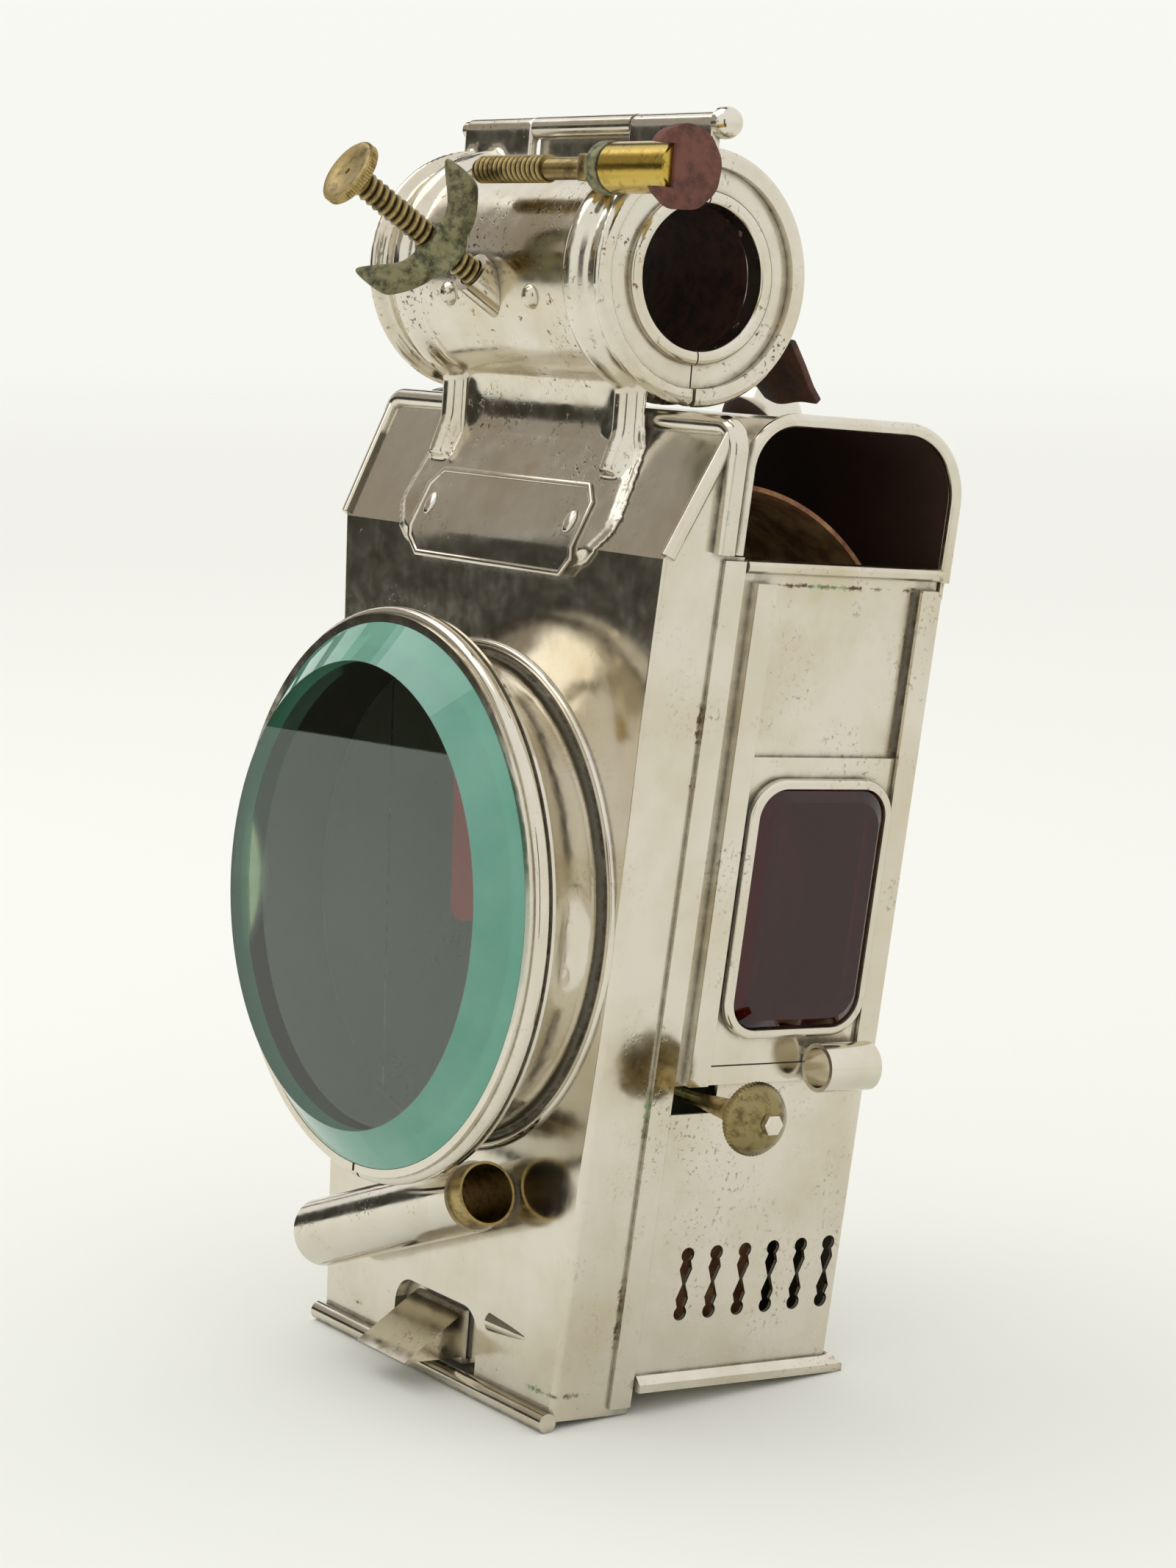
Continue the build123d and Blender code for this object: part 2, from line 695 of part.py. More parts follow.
wing_out = Vector(0, sin(radians(screw_angle)), cos(radians(screw_angle))) * cos(radians(21))
wing_out = wing_out + Vector(sin(radians(21)), 0, 0)
nut_centre = screw_base + screw_direction * nut_place

with BuildPart() as wing_nut:
    nut_bottom = Plane(origin=nut_centre - screw_direction * (nut_length / 2), x_dir=wing_out,
                       z_dir=screw_direction)
    with BuildSketch(nut_bottom):
        Circle(nut_radius)
    with BuildSketch(nut_bottom.offset(nut_length)):
        Circle(nut_radius - 0.9)
    loft()
    wing_plane = Plane(origin=nut_centre, x_dir=wing_out, z_dir=wing_out.cross(screw_direction))
    for side in (-1, 1):
        with BuildSketch(wing_plane):
            with BuildLine():
                Spline((side * 2.8, -2.4), (side * 6.5, -0.8), (side * wing_span, wing_sweep * 0.6),
                       (side * (wing_span - 1.5), wing_sweep + 1.4), (side * (wing_span - 5), wing_sweep),
                       (side * 2.8, 2.6))
                Line((side * 2.8, 2.6), (side * 2.8, -2.4))
            make_face()
        extrude(amount=wing_thickness / 2, both=True)
    with BuildSketch(nut_bottom.offset(-2)):
        Circle(screw_radius + fit)
    extrude(amount=nut_length + 4, mode=Mode.SUBTRACT)


def along_stop(station):
    """Section plane across the stop screw at a station along X."""
    return Plane(origin=(station, stop_y, stop_z), x_dir=(0, 1, 0), z_dir=(1, 0, 0))


sleeve_left = lug_right + 0.4
sleeve_right = sleeve_left + sleeve_length
washer_right = sleeve_right + washer_proud

with BuildPart() as stop_screw:
    with BuildSketch(along_stop(stop_thread_end)):
        Circle(screw_radius)
    extrude(amount=stop_thread_length)
    with BuildSketch(along_stop(stop_thread_end + stop_thread_length)):
        Circle(stop_neck_radius)
    extrude(amount=sleeve_right - sleeve_cap - fit - stop_thread_end - stop_thread_length)
    with BuildSketch(along_stop(lug_left - 5.4)):
        Rectangle(stop_square, stop_square)
    extrude(amount=2.8)

with BuildPart() as stop_lug:
    with BuildSketch(along_stop(lug_left)):
        Circle(lug_radius)
        Circle(stop_neck_radius + fit, mode=Mode.SUBTRACT)
    extrude(amount=lug_right - lug_left)
    with BuildSketch(Plane.YZ.offset(lug_left - 1)):
        with Locations((hub_y, hub_z)):
            Circle(ring_radius + fit / 5)
    extrude(amount=10, mode=Mode.SUBTRACT)

with BuildPart() as stop_sleeve:
    with BuildSketch(along_stop(sleeve_left)):
        Circle(sleeve_radius)
    extrude(amount=sleeve_length)
    chamfer(stop_sleeve.edges().filter_by(GeomType.CIRCLE).sort_by(Axis.X)[-1], 0.3)
    with BuildSketch(along_stop(sleeve_left)):
        Circle(stop_neck_radius + fit / 2)
    extrude(amount=sleeve_length - sleeve_cap, mode=Mode.SUBTRACT)

with BuildPart() as stop_washer:
    with BuildSketch(along_stop(washer_right - washer_thickness)):
        Circle(washer_radius)
    extrude(amount=washer_thickness)
    with BuildSketch(along_stop(washer_right - washer_thickness)):
        Circle(sleeve_radius + fit / 2)
    extrude(amount=washer_thickness - washer_proud + fit / 2, mode=Mode.SUBTRACT)
    with BuildSketch(along_stop(washer_right - washer_thickness)):
        with Locations((-washer_slot_floor, 0)):
            Rectangle(washer_radius, washer_slot_width, align=(Align.MAX, Align.CENTER))
    extrude(amount=washer_thickness, mode=Mode.SUBTRACT)

# ---------------------------------------------------------------- catch under the lens
with BuildPart() as catch_tongue:
    tab_front = 1.0
    tip = (tongue_reach, tongue_tip)
    with BuildSketch(Plane.YZ):
        with BuildLine():
            Polyline((tab_front, arch_top - 1.4), tip, (tip[0] + 0.9, tip[1] - 0.5),
                     (tab_front, arch_top - 2.6), close=True)
        make_face()
        with Locations((tab_front, tongue_foot)):
            Rectangle(sheet, arch_top - 1.4 - tongue_foot, align=(Align.MIN, Align.MIN))
            Rectangle(7.0, sheet, align=(Align.MIN, Align.MIN))
    extrude(amount=8.0, both=True)
    with BuildSketch(Plane.YZ):
        with BuildLine():
            Polyline((tab_front, arch_top - 1.4), tip, (tab_front, tip[1]), close=True)
        make_face()
    extrude(amount=8.0, both=True)
    with BuildSketch(Plane.YZ):
        with BuildLine():
            Polyline((tab_front, arch_top - 2.6), (tip[0] + 0.9, tip[1] - 0.5),
                     (tip[0] + 0.9, tip[1] - 3), (tab_front, tip[1] - 3), close=True)
        make_face()
    extrude(amount=8.0 - sheet, both=True, mode=Mode.SUBTRACT)

# ---------------------------------------------------------------- bands and hinge beside the seam
parting_y = flange_depth + seam_gap / 2


def strip_on_side(side, low, high, front, back, inner, outer):
    """A flat strip on a side wall between two heights and depths, and two proud distances."""
    with BuildPart() as strip:
        base = side_plane(side, low, 0, inner)
        rise = (high - low) * hypot(1, taper)
        with BuildSketch(base):
            with Locations((side * (front + back) / 2, 0)):
                Rectangle(back - front, rise, align=(Align.CENTER, Align.MIN))
        extrude(amount=outer - inner)
    return strip.part


with BuildPart() as side_bands:
    for side in (-1, 1):
        add(strip_on_side(side, band_bottom, fold_height + 0.4, seam_line + 0.4, flange_depth,
                          0.02, band_thickness))

case_axis_point = Vector(-half_width(0) - case_hinge_out, parting_y, 0)
case_axis_direction = Vector(-taper, 0, 1).normalized()
knuckle_length = (case_hinge_top - case_hinge_bottom) / case_knuckles


def case_knuckle(number):
    """One rolled knuckle of the case hinge, counted from the bottom."""
    start = case_hinge_bottom + number * knuckle_length + fit
    origin = case_axis_point + case_axis_direction * start
    with BuildPart() as roll:
        with BuildSketch(Plane(origin=origin, z_dir=case_axis_direction)):
            Circle(case_knuckle_radius)
            Circle(case_pin_radius + fit / 2, mode=Mode.SUBTRACT)
        extrude(amount=knuckle_length - 2 * fit)
    return roll.part


def pin_hole():
    """The bore through every knuckle of the case hinge."""
    with BuildPart() as hole:
        with BuildSketch(Plane(origin=case_axis_point, z_dir=case_axis_direction)):
            Circle(case_pin_radius + fit / 2)
        extrude(amount=case_hinge_top + 20)
    return hole.part


def knuckle_band(number):
    """Lowest and highest point of a knuckle."""
    low = case_hinge_bottom + number * knuckle_length + 2 * fit
    return low, low + knuckle_length - 4 * fit


front_leaf_proud = band_thickness + 0.05
rear_leaf_proud = rail_lip_proud + 0.05

with BuildPart() as case_hinge_front:
    add(strip_on_side(-1, case_hinge_bottom, case_hinge_top, 8.0, parting_y - case_knuckle_radius - 0.2,
                      front_leaf_proud, front_leaf_proud + leaf_thickness))
    for number in range(0, case_knuckles, 2):
        low, high = knuckle_band(number)
        add(strip_on_side(-1, low, high, 12.0, parting_y, front_leaf_proud,
                          front_leaf_proud + leaf_thickness))
        add(case_knuckle(number))
    add(pin_hole(), mode=Mode.SUBTRACT)

with BuildPart() as case_hinge_rear:
    leaf_front = parting_y + case_knuckle_radius + 0.2
    add(strip_on_side(-1, case_hinge_bottom + 1, case_hinge_top - 1, leaf_front, rail_front + 2.9,
                      rear_leaf_proud, rear_leaf_proud + leaf_thickness))
    for number in range(1, case_knuckles, 2):
        low, high = knuckle_band(number)
        add(strip_on_side(-1, low, high, parting_y, leaf_front + 1, rear_leaf_proud,
                          rear_leaf_proud + leaf_thickness))
        add(case_knuckle(number))
    add(pin_hole(), mode=Mode.SUBTRACT)

with BuildPart() as case_hinge_pin:
    pin_start = case_axis_point + case_axis_direction * (case_hinge_bottom - 1)
    with BuildSketch(Plane(origin=pin_start, z_dir=case_axis_direction)):
        Circle(case_pin_radius)
    extrude(amount=case_hinge_top - case_hinge_bottom + 2)

# ---------------------------------------------------------------- case
with BuildPart() as case_body:
    with BuildSketch(Plane.XZ.offset(-case_front)):
        with BuildLine():
            Polyline(*outline_between(sheet + 0.02, sill_height), close=True)
        make_face()
    extrude(amount=-(case_back - case_front))
    rear_corners = case_body.edges().filter_by(
        lambda edge: abs(edge.center().Y - case_back) < 0.01 and abs(edge.center().X) > 30)
    fillet(rear_corners, fold_radius)
    open_faces = [case_body.faces().sort_by(Axis.Y)[0], case_body.faces().sort_by(Axis.Z)[0],
                  case_body.faces().sort_by(Axis.Z)[-1]]
    offset(amount=-sheet, openings=open_faces)
    # Window openings.
    with BuildSketch(Plane.YZ):
        with Locations(((window_front + window_back) / 2, (window_bottom + window_top) / 2)):
            RectangleRounded(window_back - window_front, window_top - window_bottom, 3)
    extrude(amount=2 * fold_half_width, both=True, mode=Mode.SUBTRACT)
    # Notch for the wick winder, open at the case's front edge.
    with BuildSketch(Plane.YZ):
        with Locations((case_front - 1, notch_bottom)):
            Rectangle(notch_back - case_front + 1, notch_top - notch_bottom,
                      align=(Align.MIN, Align.MIN))
    extrude(amount=2 * fold_half_width, mode=Mode.SUBTRACT)
    # Pierced air holes: a round lobe at each end of a waisted slot.
    hole_middle = (hole_bottom + hole_top) / 2
    lobe_height = (hole_top - hole_bottom) / 2 - hole_lobe
    shoulder = lobe_height - hole_lobe * 1.9
    with BuildSketch(Plane.YZ):
        for number in range(hole_count):
            with Locations((first_hole + number * hole_pitch, hole_middle)):
                with Locations((0, lobe_height), (0, -lobe_height)):
                    Circle(hole_lobe)
                Polygon((-hole_lobe, shoulder), (-0.5, lobe_height), (0.5, lobe_height),
                        (hole_lobe, shoulder), (0.35, 0), (hole_lobe, -shoulder),
                        (0.5, -lobe_height), (-0.5, -lobe_height), (-hole_lobe, -shoulder),
                        (-0.35, 0), align=None)
    extrude(amount=2 * fold_half_width, both=True, mode=Mode.SUBTRACT)

with BuildPart() as base_plate:
    plate_back = case_back + moulding_proud
    with BuildSketch(Plane.XY):
        with Locations((0, case_front + fit)):
            Rectangle(2 * (base_half_width + moulding_proud), plate_back - case_front - fit,
                      align=(Align.CENTER, Align.MIN))
        with Locations((0, base_front)):
            Rectangle(2 * (base_half_width - sheet - seam_gap), case_front - base_front + 1,
                      align=(Align.CENTER, Align.MIN))
    extrude(amount=sheet)
    with BuildSketch(Plane.XY):
        with Locations((0, base_front)):
            Rectangle(2 * (base_half_width - sheet - seam_gap), sheet, align=(Align.CENTER, Align.MIN))
    extrude(amount=-base_lip)
    # Moulding round the outside of the walls.
    with BuildSketch(Plane.XY.offset(sheet)):
        with Locations((0, case_front + fit)):
            Rectangle(2 * (base_half_width + moulding_proud), plate_back - case_front - fit,
                      align=(Align.CENTER, Align.MIN))
        with Locations((0, case_front + fit - 1)):
            Rectangle(2 * (half_width(moulding_height) + fit / 2),
                      case_back + fit - case_front - fit + 1, align=(Align.CENTER, Align.MIN),
                      mode=Mode.SUBTRACT)
    extrude(amount=moulding_height - sheet)
    outer_top = base_plate.edges().filter_by(lambda edge: abs(edge.center().Z - moulding_height) < 0.01)
    outside = outer_top.filter_by(lambda edge: abs(abs(edge.center().X) - base_half_width
                                                   - moulding_proud) < 0.01)
    rear_edge = outer_top.filter_by(lambda edge: abs(edge.center().Y - plate_back) < 0.01)
    chamfer(outside + rear_edge, 1.3)


def hood_path(inset):
    """Arch of the hood seen from the side, drawn a distance inside its outer face."""
    front = hood_front + inset
    back = hood_back - inset
    top = hood_top - inset
    return FilletPolyline((front, sill_height), (front, top), (back, top), (back, sill_height),
                          radius=[hood_front_corner - inset, hood_back_corner - inset])


hood_front_foot = fold_height + 1.4       # the hood's front wall ends above the flanges

with BuildPart() as hood:
    with BuildSketch(Plane.YZ):
        with BuildLine():
            hood_path(0)
            Line((hood_back, sill_height), (hood_front, sill_height))
        make_face()
        with BuildLine():
            hood_path(sheet)
            Line((hood_back - sheet, sill_height), (hood_front + sheet, sill_height))
        make_face(mode=Mode.SUBTRACT)
        with Locations((0, hood_front_foot)):
            Rectangle(case_front + fit, 40, align=(Align.MIN, Align.MAX), mode=Mode.SUBTRACT)
        with Locations((hood_back, sill_height + 0.5)):
            Rectangle(sheet, 3.5, align=(Align.MAX, Align.MAX))
    extrude(amount=2 * fold_half_width, both=True)
    with BuildSketch(Plane.XZ):
        with BuildLine():
            Polyline(*outline_between(sill_height - 4, hood_top + 1), close=True)
        make_face()
    extrude(amount=-2 * case_back, mode=Mode.INTERSECT)
    for side in (-1, 1):
        rim_plane = side_plane(side, 0, 0)
        stretch = hypot(1, taper)
        rim_inset = sheet / 2
        with BuildLine(rim_plane) as rim_path:
            FilletPolyline((side * (hood_front + rim_inset), hood_front_foot * stretch),
                           (side * (hood_front + rim_inset), (hood_top - rim_inset) * stretch),
                           (side * (hood_back - rim_inset), (hood_top - rim_inset) * stretch),
                           (side * (hood_back - rim_inset), sill_height * stretch),
                           radius=[hood_front_corner - rim_inset, hood_back_corner - rim_inset])
        with BuildSketch(Plane(rim_path.line @ 0, z_dir=rim_path.line % 0)):
            Circle(hood_rim_radius)
        sweep(path=rim_path.line)
        with BuildLine(rim_plane) as sill_path:
            Line((side * (case_front + fit), (sill_height + hood_rim_radius) * stretch),
                 (side * (hood_back - rim_inset), (sill_height + hood_rim_radius) * stretch))
        with BuildSketch(Plane(sill_path.line @ 0, z_dir=sill_path.line % 0)):
            Circle(hood_rim_radius)
        sweep(path=sill_path.line)

with BuildPart() as inner_cowl:
    with BuildSketch(Plane.YZ.offset(-fold_half_width + 8)):
        with Locations((cowl_y, cowl_z)):
            Circle(cowl_radius)
            Circle(cowl_radius - sheet, mode=Mode.SUBTRACT)
        with Locations((hood_front + sheet + 3 * fit, cowl_floor)):
            Rectangle(case_back - sheet - 3 * fit - hood_front - sheet - 3 * fit, 80,
                      align=(Align.MIN, Align.MIN), mode=Mode.INTERSECT)
    extrude(amount=2 * fold_half_width - 16)

with BuildPart() as hood_knob:
    with Locations((0, hood_knob_y, hood_knob_z)):
        Sphere(hood_knob_radius)
    with BuildSketch(Plane.YZ):
        with BuildLine():
            hood_path(-fit / 5)
            Line((hood_back + fit / 5, sill_height), (hood_front - fit / 5, sill_height))
        make_face()
    extrude(amount=20, both=True, mode=Mode.SUBTRACT)

# Loose end of the leather lining, which hangs behind the barrel.
with BuildPart() as leather_flap:
    flap_top = (hub_y + (ring_radius + fit) * cos(radians(25)),
                hub_z - (ring_radius + fit) * sin(radians(25)))
    with BuildSketch(Plane.YZ.offset(18)):
        with BuildLine():
            flap_edge = Spline(flap_top, (36.8, 176.0), (39.0, 172.1), (41.5, hood_top + 1.2))
            flap_back = Spline((flap_top[0] + 1.6, flap_top[1] + 0.4), (38.4, 176.3), (40.6, 172.8),
                               (42.4, hood_top + 2.4))
            Line(flap_edge @ 0, flap_back @ 0)
            Line(flap_edge @ 1, flap_back @ 1)
        make_face()
    extrude(amount=18)

# ---------------------------------------------------------------- side windows and their slides
with BuildPart() as slide_rails_right:
    rail_bottom = slide_bottom - 3.4
    rail_top = sill_height - 1.4
    front_rail_back = slide_front - fit * 2
    add(strip_on_side(1, rail_bottom, rail_top, rail_front, front_rail_back, 0.02, rail_proud))
    add(strip_on_side(1, rail_bottom, rail_top, rail_front, slide_front + 1, rail_proud, rail_lip_proud))
    rear_rail_front = slide_back + fit * 2
    add(strip_on_side(1, rail_bottom, rail_top, rear_rail_front, case_back - 1, 0.02, rail_proud))
    add(strip_on_side(1, rail_bottom, rail_top, slide_back - 0.7, case_back - 1, rail_proud,
                      rail_lip_proud))
    add(strip_on_side(1, rail_bottom, slide_bottom - fit * 2, rail_front, case_back - 1, 0.02,
                      rail_proud))

frame_middle = (frame_front + frame_back) / 2
frame_level = (frame_bottom + frame_top) / 2
slide_outside = slide_gap + slide_thickness
frame_width = frame_back - frame_front
frame_height = frame_top - frame_bottom

with BuildPart() as slide_plate_right:
    add(strip_on_side(1, slide_bottom, slide_top, slide_front, slide_back, slide_gap, slide_outside))
    with BuildSketch(side_plane(1, frame_level, frame_middle)):
        RectangleRounded(frame_width - 6 * frame_roll, frame_height - 6 * frame_roll, 3)
    extrude(amount=5, both=True, mode=Mode.SUBTRACT)

with BuildPart() as window_frame_right:
    with BuildSketch(side_plane(1, frame_level, frame_middle, slide_outside + 0.02)):
        RectangleRounded(frame_width, frame_height, frame_corner)
        RectangleRounded(frame_width - 2 * frame_roll, frame_height - 2 * frame_roll,
                         frame_corner - frame_roll, mode=Mode.SUBTRACT)
    extrude(amount=frame_depth)
    frame_rim = window_frame_right.faces().sort_by(Axis.X)[-1].edges()
    fillet(frame_rim, frame_roll * 0.42)

with BuildPart() as window_glass_right:
    pane_width = frame_width - 2 * frame_roll - 2 * fit
    pane_height = frame_height - 2 * frame_roll - 2 * fit
    pane_corner = frame_corner - frame_roll - fit
    pane_plane = side_plane(1, frame_level, frame_middle, slide_outside + 0.04)
    with BuildSketch(pane_plane):
        RectangleRounded(pane_width, pane_height, pane_corner)
    extrude(amount=glass_thickness * 0.5)
    with BuildSketch(pane_plane.offset(glass_thickness * 0.5)):
        RectangleRounded(pane_width, pane_height, pane_corner)
    with BuildSketch(pane_plane.offset(glass_thickness)):
        RectangleRounded(pane_width - 2 * side_bevel, pane_height - 2 * side_bevel, pane_corner - 0.6)
    loft()

with BuildPart() as finger_tube_right:
    tube_proud = slide_outside + finger_radius + 0.3
    tube_centre = side_plane(1, finger_height, finger_front, tube_proud).origin
    with BuildSketch(Plane(origin=tube_centre, x_dir=(1, 0, 0), z_dir=(0, 1, 0))):
        Circle(finger_radius)
        Circle(finger_radius - sheet, mode=Mode.SUBTRACT)
    extrude(amount=finger_length)
    add(strip_on_side(1, finger_height + 1.2, finger_height + 2.4, finger_front,
                      finger_front + finger_length, slide_outside + 0.02, slide_outside + 1.2))

# ---------------------------------------------------------------- oil font, burner and winder
with BuildPart() as oil_font:
    font_depth = font_back - font_front
    font_bottom = sheet + fit
    with BuildSketch(Plane.XY.offset(font_bottom)):
        with Locations((0, (font_front + font_back) / 2)):
            RectangleRounded(2 * font_half_width, font_depth, 5)
    extrude(amount=font_top - font_bottom)
    with BuildSketch(Plane.XY.offset(font_bottom + sheet)):
        with Locations((0, (font_front + font_back) / 2)):
            RectangleRounded(2 * font_half_width - 2 * sheet, font_depth - 2 * sheet, 5 - sheet)
    extrude(amount=font_top - font_bottom - 2 * sheet, mode=Mode.SUBTRACT)
    with BuildSketch(Plane.XY.offset(font_top - 3)):
        with Locations((0, burner_y)):
            Circle(burner_radius - 3)
    extrude(amount=6, mode=Mode.SUBTRACT)

with BuildPart() as filler_cap:
    with BuildSketch(Plane.XY.offset(font_top + 0.02)):
        with Locations((22, burner_y + 8)):
            Circle(5)
    extrude(amount=4)
    fillet(filler_cap.edges().group_by(Axis.Z)[-1], 1.0)

wick_front = winder_y + spur_radius + fit
wick_middle = wick_front + wick_thickness / 2

with BuildPart() as burner:
    with BuildSketch(Plane.XY.offset(font_top + 0.02)):
        with Locations((0, burner_y)):
            Circle(burner_radius)
    extrude(amount=8)
    with BuildSketch(Plane.XY.offset(font_top + 8.02)):
        with Locations((0, burner_y)):
            Circle(burner_radius - 2)
    extrude(amount=2.5)
    with BuildSketch(Plane.XY.offset(font_top)):
        with Locations((0, wick_middle)):
            Rectangle(wick_width + 2.4, wick_thickness + 1.6)
    extrude(amount=wick_tube_top - font_top)
    with BuildSketch(Plane(origin=(3, winder_y, winder_z), x_dir=(0, 1, 0), z_dir=(1, 0, 0))):
        Circle(winder_radius + 1.1)
        with Locations((0, 0)):
            Rectangle(4, 2 * winder_radius + 2.2, align=(Align.MIN, Align.CENTER))
    extrude(amount=4)
    with BuildSketch(Plane(origin=(0, winder_y, winder_z), x_dir=(0, 1, 0), z_dir=(1, 0, 0))):
        Circle(winder_radius + 0.08)
    extrude(amount=20, mode=Mode.SUBTRACT)
    with BuildSketch(Plane(origin=(-2.2, winder_y, winder_z), x_dir=(0, 1, 0), z_dir=(1, 0, 0))):
        Circle(spur_radius + 0.3)
    extrude(amount=4.4, mode=Mode.SUBTRACT)
    with BuildSketch(Plane.XY.offset(font_top - 1)):
        with Locations((0, wick_middle)):
            Rectangle(wick_width + 2 * fit, wick_thickness + 2 * fit)
    extrude(amount=wick_tube_top - font_top + 2, mode=Mode.SUBTRACT)

with BuildPart() as wick:
    with BuildSketch(Plane.XY.offset(font_bottom + 8)):
        with Locations((0, wick_middle)):
            Rectangle(wick_width, wick_thickness)
    extrude(amount=wick_tube_top + 2 - font_bottom - 8)


def along_winder(station):
    """Section plane across the wick winder at a station along X."""
    return Plane(origin=(station, winder_y, winder_z), x_dir=(0, 1, 0), z_dir=(1, 0, 0))


with BuildPart() as winder_shaft:
    with BuildSketch(along_winder(-2.6)):
        Circle(winder_radius)
    extrude(amount=knob_place + 2.6)
    shaft_swell = half_width(winder_z) + 2
    with BuildSketch(along_winder(shaft_swell)):
        Circle(winder_radius + 0.1)
    with BuildSketch(along_winder(knob_place - 0.1)):
        Circle(winder_radius * 2)
    loft()
    # Toothed wheel that drives the wick.
    with BuildSketch(along_winder(-2.0)):
        Circle(spur_radius - 0.5)
        with PolarLocations(spur_radius - 0.5, 12):
            Rectangle(0.9, 0.6)
    extrude(amount=4.0)

knob_face = knob_place + knob_edge

with BuildPart() as winder_knob:
    with BuildSketch(along_winder(knob_place)):
        Circle(knob_radius)
    extrude(amount=knob_edge)
    with BuildSketch(Plane.XY.offset(winder_z)):
        with BuildLine():
            knob_rise, knob_swell = half_way(knob_radius, knob_dome)
            Line((knob_face, winder_y), (knob_face, winder_y - knob_radius))
            ThreePointArc((knob_face, winder_y - knob_radius),
                          (knob_face + knob_rise, winder_y - knob_swell),
                          (knob_face + knob_dome, winder_y))
            Line((knob_face + knob_dome, winder_y), (knob_face, winder_y))
        make_face()
    revolve(axis=Axis((0, winder_y, winder_z), (1, 0, 0)))

with BuildPart() as knob_rivet:
    with BuildSketch(along_winder(knob_face + knob_dome + 0.02)):
        RegularPolygon(1.9, 6)
    extrude(amount=1.4)
    fillet(knob_rivet.edges().group_by(Axis.X)[-1], 0.4)

with BuildPart() as reflector:
    rim_y = case_back - sheet - reflector_depth - 1.8
    dish_y = rim_y + reflector_depth
    dish_rise, dish_width = half_way(reflector_radius, reflector_depth)
    with BuildSketch(Plane.XY.offset(lens_height)):
        with BuildLine():
            ThreePointArc((0, dish_y), (dish_width, dish_y - reflector_depth + dish_rise),
                          (reflector_radius, rim_y))
            Line((reflector_radius, rim_y), (reflector_radius, rim_y + sheet))
            ThreePointArc((reflector_radius, rim_y + sheet),
                          (dish_width, dish_y - reflector_depth + dish_rise + sheet),
                          (0, dish_y + sheet))
            Line((0, dish_y + sheet), (0, dish_y))
        make_face()
        with Locations((0, dish_y + 0.3)):
            Rectangle(6, case_back - sheet - dish_y - 0.32, align=(Align.MIN, Align.MIN))
    revolve(axis=lens_axis)

# ---------------------------------------------------------------- naming, standing and writing
pieces = {
    "front_shell": front_shell.part, "side_bands": side_bands.part,
    "lens_collar": lens_collar.part, "lens_bezel": lens_bezel.part,
    "lens_glass": lens_glass.part, "lens_clip_ring": lens_clip_ring.part,
    "cross_tube": cross_tube.part, "tube_liner": tube_liner.part,
    "nameplate": nameplate.part, "hub_bracket": hub_bracket.part,
    "front_end_rings": front_end_rings.part, "front_liner": front_liner.part,
    "hinge_pin": hinge_pin.part, "screw_boss": screw_boss.part,
    "barrel_rivets": barrel_rivets.part, "stop_lug": stop_lug.part,
    "rear_barrel_half": rear_barrel_half.part, "rear_end_rings": rear_end_rings.part,
    "rear_liner": rear_liner.part, "leather_flap": leather_flap.part,
    "thumb_screw": thumb_screw.part, "wing_nut": wing_nut.part,
    "stop_screw": stop_screw.part, "stop_sleeve": stop_sleeve.part,
    "stop_washer": stop_washer.part, "catch_tongue": catch_tongue.part,
    "case_hinge_front": case_hinge_front.part, "case_hinge_rear": case_hinge_rear.part,
    "case_hinge_pin": case_hinge_pin.part, "case_body": case_body.part,
    "base_plate": base_plate.part, "hood": hood.part, "inner_cowl": inner_cowl.part,
    "hood_knob": hood_knob.part, "oil_font": oil_font.part, "filler_cap": filler_cap.part,
    "burner": burner.part, "wick": wick.part, "winder_shaft": winder_shaft.part,
    "winder_knob": winder_knob.part, "knob_rivet": knob_rivet.part,
    "reflector": reflector.part,
}
for builder, label in [(slide_rails_right, "slide_rails"), (slide_plate_right, "slide_plate"),
                       (window_frame_right, "window_frame"),
                       (window_glass_right, "window_glass"),
                       (finger_tube_right, "finger_tube")]:
    pieces[label + "_right"] = builder.part
    pieces[label + "_left"] = mirror(builder.part, about=Plane.YZ)

# The lamp stands on the bead and the base's rear edge, over the middle of its own outline.
lean = Location((0, 0, 0), (-degrees(lamp_lean), 0, 0))
outline = Compound(children=[piece.moved(lean) for piece in pieces.values()]).bounding_box()
stand = Location((-outline.center().X, -outline.center().Y, -outline.min.Z)) * lean
for label, piece in pieces.items():
    standing_piece = piece.moved(stand)
    standing_piece.label = label
    export_step(standing_piece, f"parts/{label}.step")
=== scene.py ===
# %% [markdown]
# A hub oil lamp from the days of the high-wheel bicycle, finished in Blender.
# The CAD model gives every part its true shape and place. This lesson adds what CAD leaves plain: cut threads,
# cast and pressed forms, leather, glass, and the worn nickel plating that gives the lamp its looks.
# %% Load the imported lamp
import math
import bpy
from mathutils import Matrix, Vector


